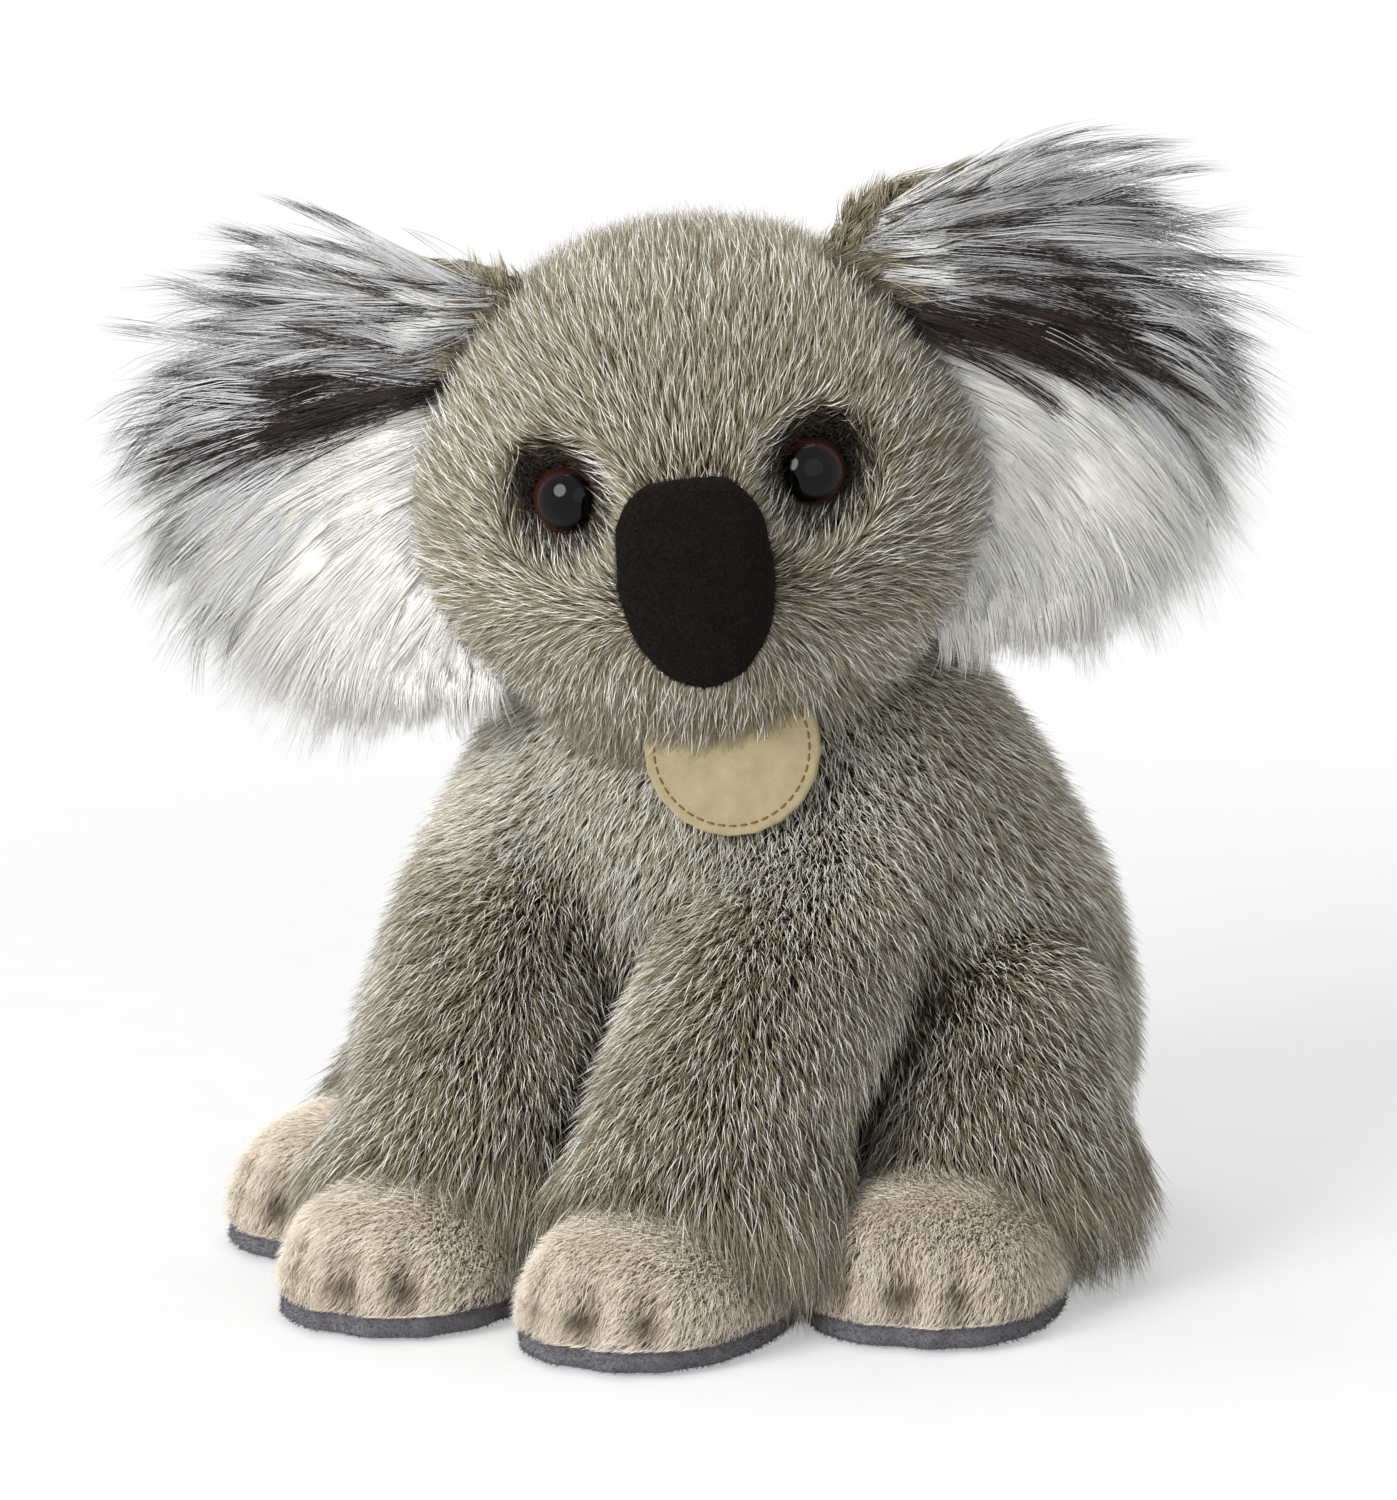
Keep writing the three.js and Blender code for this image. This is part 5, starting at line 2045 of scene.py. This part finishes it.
            keep = (out > 11 * MM) & (above > fan.fringe_from) & (above < 7 * MM)
        elif kind.zone is Zone.ROOT:
            keep = (up > 20 * MM) & (out < inner + patch + 4 * MM)
        else:
            keep = up > -22 * MM
        return out[keep], up[keep]

    def hair(self, kind: Hair, front: bool, rng: Chance) -> Strands:
        """One kind of hair on one layer.

        Args:
            kind: the hair.
            front: whether it lies on the ear's front.
            rng: the source of chance.

        Returns:
            The hairs.
        """
        fan = FANS[self.side]
        out, up = self.roots(kind, rng)
        count = len(out)
        flat = np.stack([out, up, np.zeros(count)], 1)
        centres, lock = clumps(flat, kind.lock, seed=17 + front)
        bend = hashed_share(lock)
        size = hashed_share(bend)
        angle = np.interp(centres[:, 1], fan.heights, fan.angles) + kind.turn + kind.sway * (lock - 0.5)
        angle += rng.normal(0, self.wander, count)
        mixed = self.droop_mixed * rng.random(count) + (1 - self.droop_mixed) * lock
        droop = fan.droop * (self.droop_least + bend) + kind.droop * mixed
        angle, droop = np.radians(angle), np.radians(droop)
        reach = self.to_outline(centres[:, 0], centres[:, 1], angle - droop / 2)
        low, high = kind.reach
        share = low + (high - low) * (kind.mixed * rng.random(count) + (1 - kind.mixed) * size)
        least = kind.shortest * rng.uniform(0.5, 1.1, count)
        length = np.clip(reach * share, least, self.longest * rng.uniform(0.85, 1, count))
        shares = np.linspace(0, 1, kind.points)
        turned = angle[:, None] - droop[:, None] * shares[:-1] ** 1.2
        stride = (length / (kind.points - 1))[:, None]
        gather = kind.gather * shares ** 1.5
        across = []
        for start, centre, step in zip((out, up), centres.T, (np.cos(turned), np.sin(turned))):
            first = start[:, None]
            path = np.concatenate([first, first + np.cumsum(stride * step, 1)], 1)
            across.append(path + (centre[:, None] - first) * gather)
        outs, ups = across
        bow = np.sin(math.pi * shares ** 0.7)
        lifted = kind.lift * (self.lift_least + (1 - self.lift_least) * bend)[:, None] * bow
        lift = lifted + self.root_lift * (1 - shares)
        stray = rng.normal(0, self.stray, (count, 1)) + self.lock_stray * (size[:, None] - 0.5)
        backs = self.sweep * np.maximum(outs, 0) + (-1 if front else 1) * lift + stray * shares ** 2
        paths = self.to_world(np.stack([outs, backs, ups], -1).reshape(-1, 3)).reshape(count, kind.points, 3)
        tones = rng.uniform(*kind.tones, count)
        radii = kind.radius * rng.uniform(0.75, 1.25, count)
        return Strands(paths, radii, np.clip(tones, 0, HIGHEST_TONE), taper=0.82)


@dataclass
class Paw:
    """A broad paw: short soft plush over a felt sole.

    Toes are angles round the paw from straight ahead, in radians.
    """

    finishes: Finishes
    kind: str
    side: Side
    turn_out: float
    middle_up: float = 9 * MM
    padding: Skin = (1.5 * MM, 4)
    cloth_over_filling: float = 1.4 * MM
    sole_top: float = 4.4 * MM
    sole_skin: Skin = (0.9 * MM, 36)
    lip_out: float = 0.7 * MM
    lip_up: float = 2.2 * MM
    overhang: float = 0.9 * MM
    toes: tuple[float, ...] = (-0.71, -0.24, 0.24, 0.71)
    groove: float = 2.0 * MM
    groove_width: float = 0.12
    mark_shares: tuple[float, ...] = (0.55, 1.0, 0.75)
    mark_up: float = 0.36
    mark_height: float = 0.17
    tone: float = 0.74
    mark_tone: float = 0.66
    groove_tone: float = 0.12
    lock: float = 3.5 * MM
    lock_tone: float = 0.08
    patch: float = 16 * MM
    patch_tone: float = 0.07
    fall: float = 0.4
    waviness: float = 0.22
    wave: float = 22 * MM
    fuzz: Pile = Pile(
        density=4.0, depth=0.2 * MM, rise=0.8 * MM, slide=0.7 * MM, spread=0.4, radius=0.07 * MM,
        gather=0.2, tuft=1 * MM, stray=0.4 * MM,
    )
    pile: Pile = Pile(
        density=4.4, depth=2.6 * MM, rise=3.2 * MM, slide=3.8 * MM, spread=0.3, radius=0.086 * MM,
        gather=0.16, tuft=2.6 * MM, stray=0.2 * MM,
    )

    def __post_init__(self) -> None:
        """Finds the paw's middle and draws the outside of its pile."""
        self.name = f"{self.kind}_{self.side.word}"
        self.nodes = nodes_of(self.kind, self.side, "top", "filling", "sole")
        self.low, self.high = (np.array(corner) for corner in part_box(self.nodes[0]))
        angle = math.radians(self.turn_out) * self.side.sign
        ahead = np.array([math.sin(angle), -math.cos(angle), 0])
        middle = (self.low + self.high) / 2
        middle[2] = self.middle_up
        self.place = Place(middle, np.stack([ahead, np.cross(UP, ahead), UP]))
        self.coat = wrapped(cad(*self.nodes), middle, fineness=5, closing=6)

    def build(self) -> None:
        """Makes the paw's cloth, padding, sole and pile."""
        top, filling, sole = self.nodes
        padding = remeshed(cad(filling), *self.padding)
        cloth = padding.grown(self.cloth_over_filling).piece(f"{self.name}_cloth")
        self.finishes.dress(cloth, PAW_CLOTH, nodes=[top], fill=0.8)
        self.finishes.dress(padding.piece(f"{self.name}_wadding"), WADDING, nodes=[filling], fill=0.8)
        rng = np.random.default_rng(sum(map(ord, self.name)))
        self.add_sole(sole, rng)
        self.add_pile(rng)

    def add_pile(self, rng: Chance) -> None:
        """Grows the paw's pile, with grooves and dark marks between the toes.

        Args:
            rng: the source of chance.
        """
        grooves, marks = self.toe_shapes(self.coat.points)
        sunk = (self.groove * grooves)[:, None]
        coat = Surface(self.coat.points - self.coat.normals() * sunk, self.coat.faces)
        weights = (coat.points[:, 2] > self.sole_top + self.lip_up).astype(float)
        roots = scattered(coat, self.pile.density, weights, rng, marks=marks, grooves=grooves)
        _, lock = clumps(roots.places, self.lock, seed=23)
        patches = swirl(roots.places, self.patch, seed=5)[:, 0]
        tones = self.tone - self.mark_tone * roots.values["marks"]
        tones -= self.groove_tone * roots.values["grooves"]
        tones += self.lock_tone * (lock - 0.5) + self.patch_tone * patches
        tones += rng.normal(0, 0.06, len(roots))
        flow = self.place.axes[0] + self.fall * DOWN
        flow = flow + self.waviness * swirl(roots.places, self.wave, seed=6)
        strands = self.pile.strands(roots, tangent(flow, roots.normals), tones, rng)
        raised = strands.above(self.sole_top + self.lip_up - self.overhang)
        self.finishes.lay(raised, f"{self.name}_pile", PAW_PLUSH)

    def add_sole(self, node: str, rng: Chance) -> None:
        """The felt sole, evened to its solid's size with a soft lip round it, and loose fibres on its edge.

        Args:
            node: the sole's solid.
            rng: the source of chance.
        """
        solid = cad(node)
        sole = remeshed(solid, *self.sole_skin)
        low = solid.points.min(0) - (self.lip_out, self.lip_out, 0)
        high = solid.points.max(0) + (self.lip_out, self.lip_out, self.lip_up)
        shrunk_low, shrunk_high = sole.points.min(0), sole.points.max(0)
        shares = (sole.points - shrunk_low) / (shrunk_high - shrunk_low)
        sole = Surface(low + shares * (high - low), sole.faces)
        self.finishes.dress(sole.piece(f"{self.name}_sole"), SOLE_FELT, nodes=[node])
        edge = (np.abs(sole.normals()[:, 2]) < 0.8) & (sole.points[:, 2] > 0.8 * MM)
        roots = scattered(sole, self.fuzz.density, edge.astype(float), rng)
        self.finishes.lay(self.fuzz.matted(roots, rng), f"{self.name}_sole_fuzz", SOLE_FUZZ)

    def toe_shapes(self, points: Array) -> tuple[Array, Array]:
        """Shapes the toes.

        Args:
            points: places on the outside of the pile.

        Returns:
            How deep each lies in a groove between two toes, and how dark its mark is, from 0 to 1.
        """
        local = self.place.local(points)
        angle = np.arctan2(local[:, 1], local[:, 0])
        half_length = (self.high[1] - self.low[1]) / 2
        reach = smoothstep(0.5, 0.75, np.hypot(local[:, 0], local[:, 1]) / half_length)
        height = (points[:, 2] - self.sole_top) / (self.high[2] - self.sole_top)
        grooves, marks = np.zeros(len(points)), np.zeros(len(points))
        band = smoothstep(-0.05, 0.2, height) * (1 - smoothstep(0.55, 0.85, height))
        for share, first, second in zip(self.mark_shares, self.toes, self.toes[1:]):
            across = (angle - (first + second) / 2) / self.groove_width
            up = (height - self.mark_up) / self.mark_height
            grooves = np.maximum(grooves, np.exp(-across ** 2) * band)
            marks = np.maximum(marks, share * np.exp(-across ** 2 - up ** 2))
        return grooves * reach, marks * reach


@dataclass
class Tag:
    """The hang tag: two discs of suede, stitched round their edge, on a loop of cord."""

    finishes: Finishes
    disc: Skin = (0.45 * MM, 4)
    loop: Skin = (0.22 * MM, 6)
    stitch_ring: float = 2.2 * MM
    stitches: int = 44
    stitch_share: float = 0.62
    thread: float = 0.22 * MM

    def build(self) -> None:
        """Makes the discs, the stitches and the loop."""
        for node in ("tag_face", "tag_backing"):
            disc = remeshed(cad(node), *self.disc)
            self.finishes.dress(disc.piece(f"{node}_suede"), TAG_SUEDE, "tag", [node])
        self.finishes.dress(self.thread_ring().piece("tag_stitches"), TAG_THREAD, "tag")
        loop = remeshed(cad("tag_loop"), *self.loop)
        self.finishes.dress(loop.piece("tag_cord_loop"), TAG_CORD, "root", ["tag_loop"])

    def thread_ring(self) -> Surface:
        """Sews short stitches just inside the edge of the face.

        Returns:
            All the stitches as one surface.
        """
        points = cad("tag_face").points
        _, _, axes = np.linalg.svd(points - points.mean(0), full_matrices=False)
        normal = axes[2] if axes[2][1] < 0 else -axes[2]
        up = unit(np.cross(normal, np.cross(DOWN, normal)))
        up = up if up[2] > 0 else -up
        aside = np.cross(up, normal)
        middle = (points.min(0) + points.max(0)) / 2
        offsets = points - middle
        heights = offsets @ normal
        radius = np.linalg.norm(offsets - heights[:, None] * normal, axis=1).max()
        front, ring = float(heights.max()), radius - self.stitch_ring
        arch = self.thread * np.array([-0.6, 0.5, 0.7, 0.5, -0.6])
        paths = []
        for stitch in range(self.stitches):
            start = math.tau * stitch / self.stitches
            along = np.linspace(0, 1, len(arch)) * math.tau / self.stitches * self.stitch_share
            paths.append([
                middle + ring * (math.cos(angle) * aside + math.sin(angle) * up) + (front + rise) * normal
                for angle, rise in zip(start + along, arch)
            ])
        return tubes(paths, self.thread)


@dataclass(frozen=True)
class Light:
    """A round soft light that faces the toy: its place, its diameter and its watts."""

    name: str
    place: Triple
    size: float
    power: float

    def build(self, target: Triple) -> None:
        """Makes the light.

        Args:
            target: what it faces.
        """
        data = bpy.data.lights.new(self.name, "AREA")
        data.shape = "DISK"
        data.size, data.energy = self.size, self.power
        light = placed(self.name, data)
        light.location = self.place
        light.rotation_euler = (Vector(target) - Vector(self.place)).to_track_quat("-Z", "Y").to_euler()


@dataclass
class Studio:
    """A pale floor in plain soft light, and the camera."""

    azimuth: float = 28.0
    elevation: float = 12.0
    distance: float = 2.0
    lens: float = 228.5
    sensor: float = 36.0
    aim_right: float = -15.44 * MM
    aim_up: float = 98.73 * MM
    lights: tuple[Light, ...] = (
        Light("key", (-0.5, -1.9, 1.0), 1.2, 42), Light("fill", (1.5, -1.3, 0.6), 1.8, 5),
        Light("top", (-0.2, 0.1, 1.9), 1.4, 15),
    )
    lit: Triple = (0, -0.02, 0.11)
    ambient: float = 0.4
    white: Colour = (1.0, 1.0, 1.0)
    floor_tones: Pair = (0.86, 0.88)
    floor_glow: float = 0.4
    floor_radii: Pair = (0.22, 0.6)

    def build(self) -> None:
        """Makes the floor, the world, the lights and the camera."""
        bpy.context.scene.view_settings.view_transform = "Standard"
        self.add_floor()
        self.add_world()
        for light in self.lights:
            light.build(self.lit)
        self.add_camera()

    def add_floor(self) -> None:
        """Makes a wide plane that shows the toy's shadow and fades into white further off."""
        build = bmesh.new()
        bmesh.ops.create_grid(build, x_segments=8, y_segments=8, size=4.0)
        mesh = drawn(build, "floor")
        floor = placed("floor", mesh)
        material = bpy.data.materials.new("studio_floor")
        shader = Shader(material)
        low, high = ((tone,) * 3 for tone in self.floor_tones)
        cover = shader.node(
            "BsdfPrincipled", Base_Color=shader.ramp(shader.noise(60, 2), ((0.3, low), (0.7, high))),
            Roughness=0.9, Specular_IOR_Level=0.1,
        )
        glow = shader.node("Emission", Color=self.white, Strength=1.0)
        near = 1 - shader.step(*self.floor_radii, shader.vectors("LENGTH", _0=shader.place()))
        share = (1 - near * (1 - self.floor_glow)) * shader.seen()
        both = shader.node("MixShader", _0=share, _1=cover.outputs[0], _2=glow.outputs[0])
        shader.node("OutputMaterial", Surface=both.outputs[0])
        mesh.materials.append(material)

    def add_world(self) -> None:
        """Makes a world that is white where it is seen or mirrored, and a low even light otherwise."""
        world = bpy.data.worlds.new("studio")
        bpy.context.scene.world = world
        shader = Shader(world)
        strength = shader.seen() * (1 - self.ambient) + self.ambient
        back = shader.node("Background", Color=self.white, Strength=strength)
        shader.node("OutputWorld", Surface=back.outputs[0])

    def add_camera(self) -> None:
        """Makes the camera at the picture's angle, far off with a long lens."""
        turn, tip = math.radians(self.azimuth), math.radians(self.elevation)
        right = Vector((math.cos(turn), math.sin(turn), 0))
        back = Vector((math.sin(turn) * math.cos(tip), -math.cos(turn) * math.cos(tip), math.sin(tip)))
        up = back.cross(right)
        data = bpy.data.cameras.new("camera")
        data.lens, data.sensor_width, data.sensor_fit = self.lens, self.sensor, "AUTO"
        camera = placed("camera", data)
        place = right * self.aim_right + up * self.aim_up + back * self.distance
        camera.matrix_world = Matrix.Translation(place) @ Matrix((right, up, back)).transposed().to_4x4()
        bpy.context.scene.camera = camera


def main() -> None:
    """Builds the toy and its studio."""
    logging.basicConfig(level=logging.INFO, format="%(message)s")
    Studio().build()
    finishes = Finishes()
    place = head_place()
    head = Head(finishes, place)
    turns = {"front_paw": 0, "hind_paw": 12}
    paws = [Paw(finishes, kind, side, turn) for kind, turn in turns.items() for side in Side]
    Body(finishes, head.coat, [paw.coat for paw in paws]).build()
    head.build()
    for paw in paws:
        paw.build()
    for side in Side:
        Ear(finishes, side, place).build()
    Tag(finishes).build()


if __name__ == "__main__":
    main()
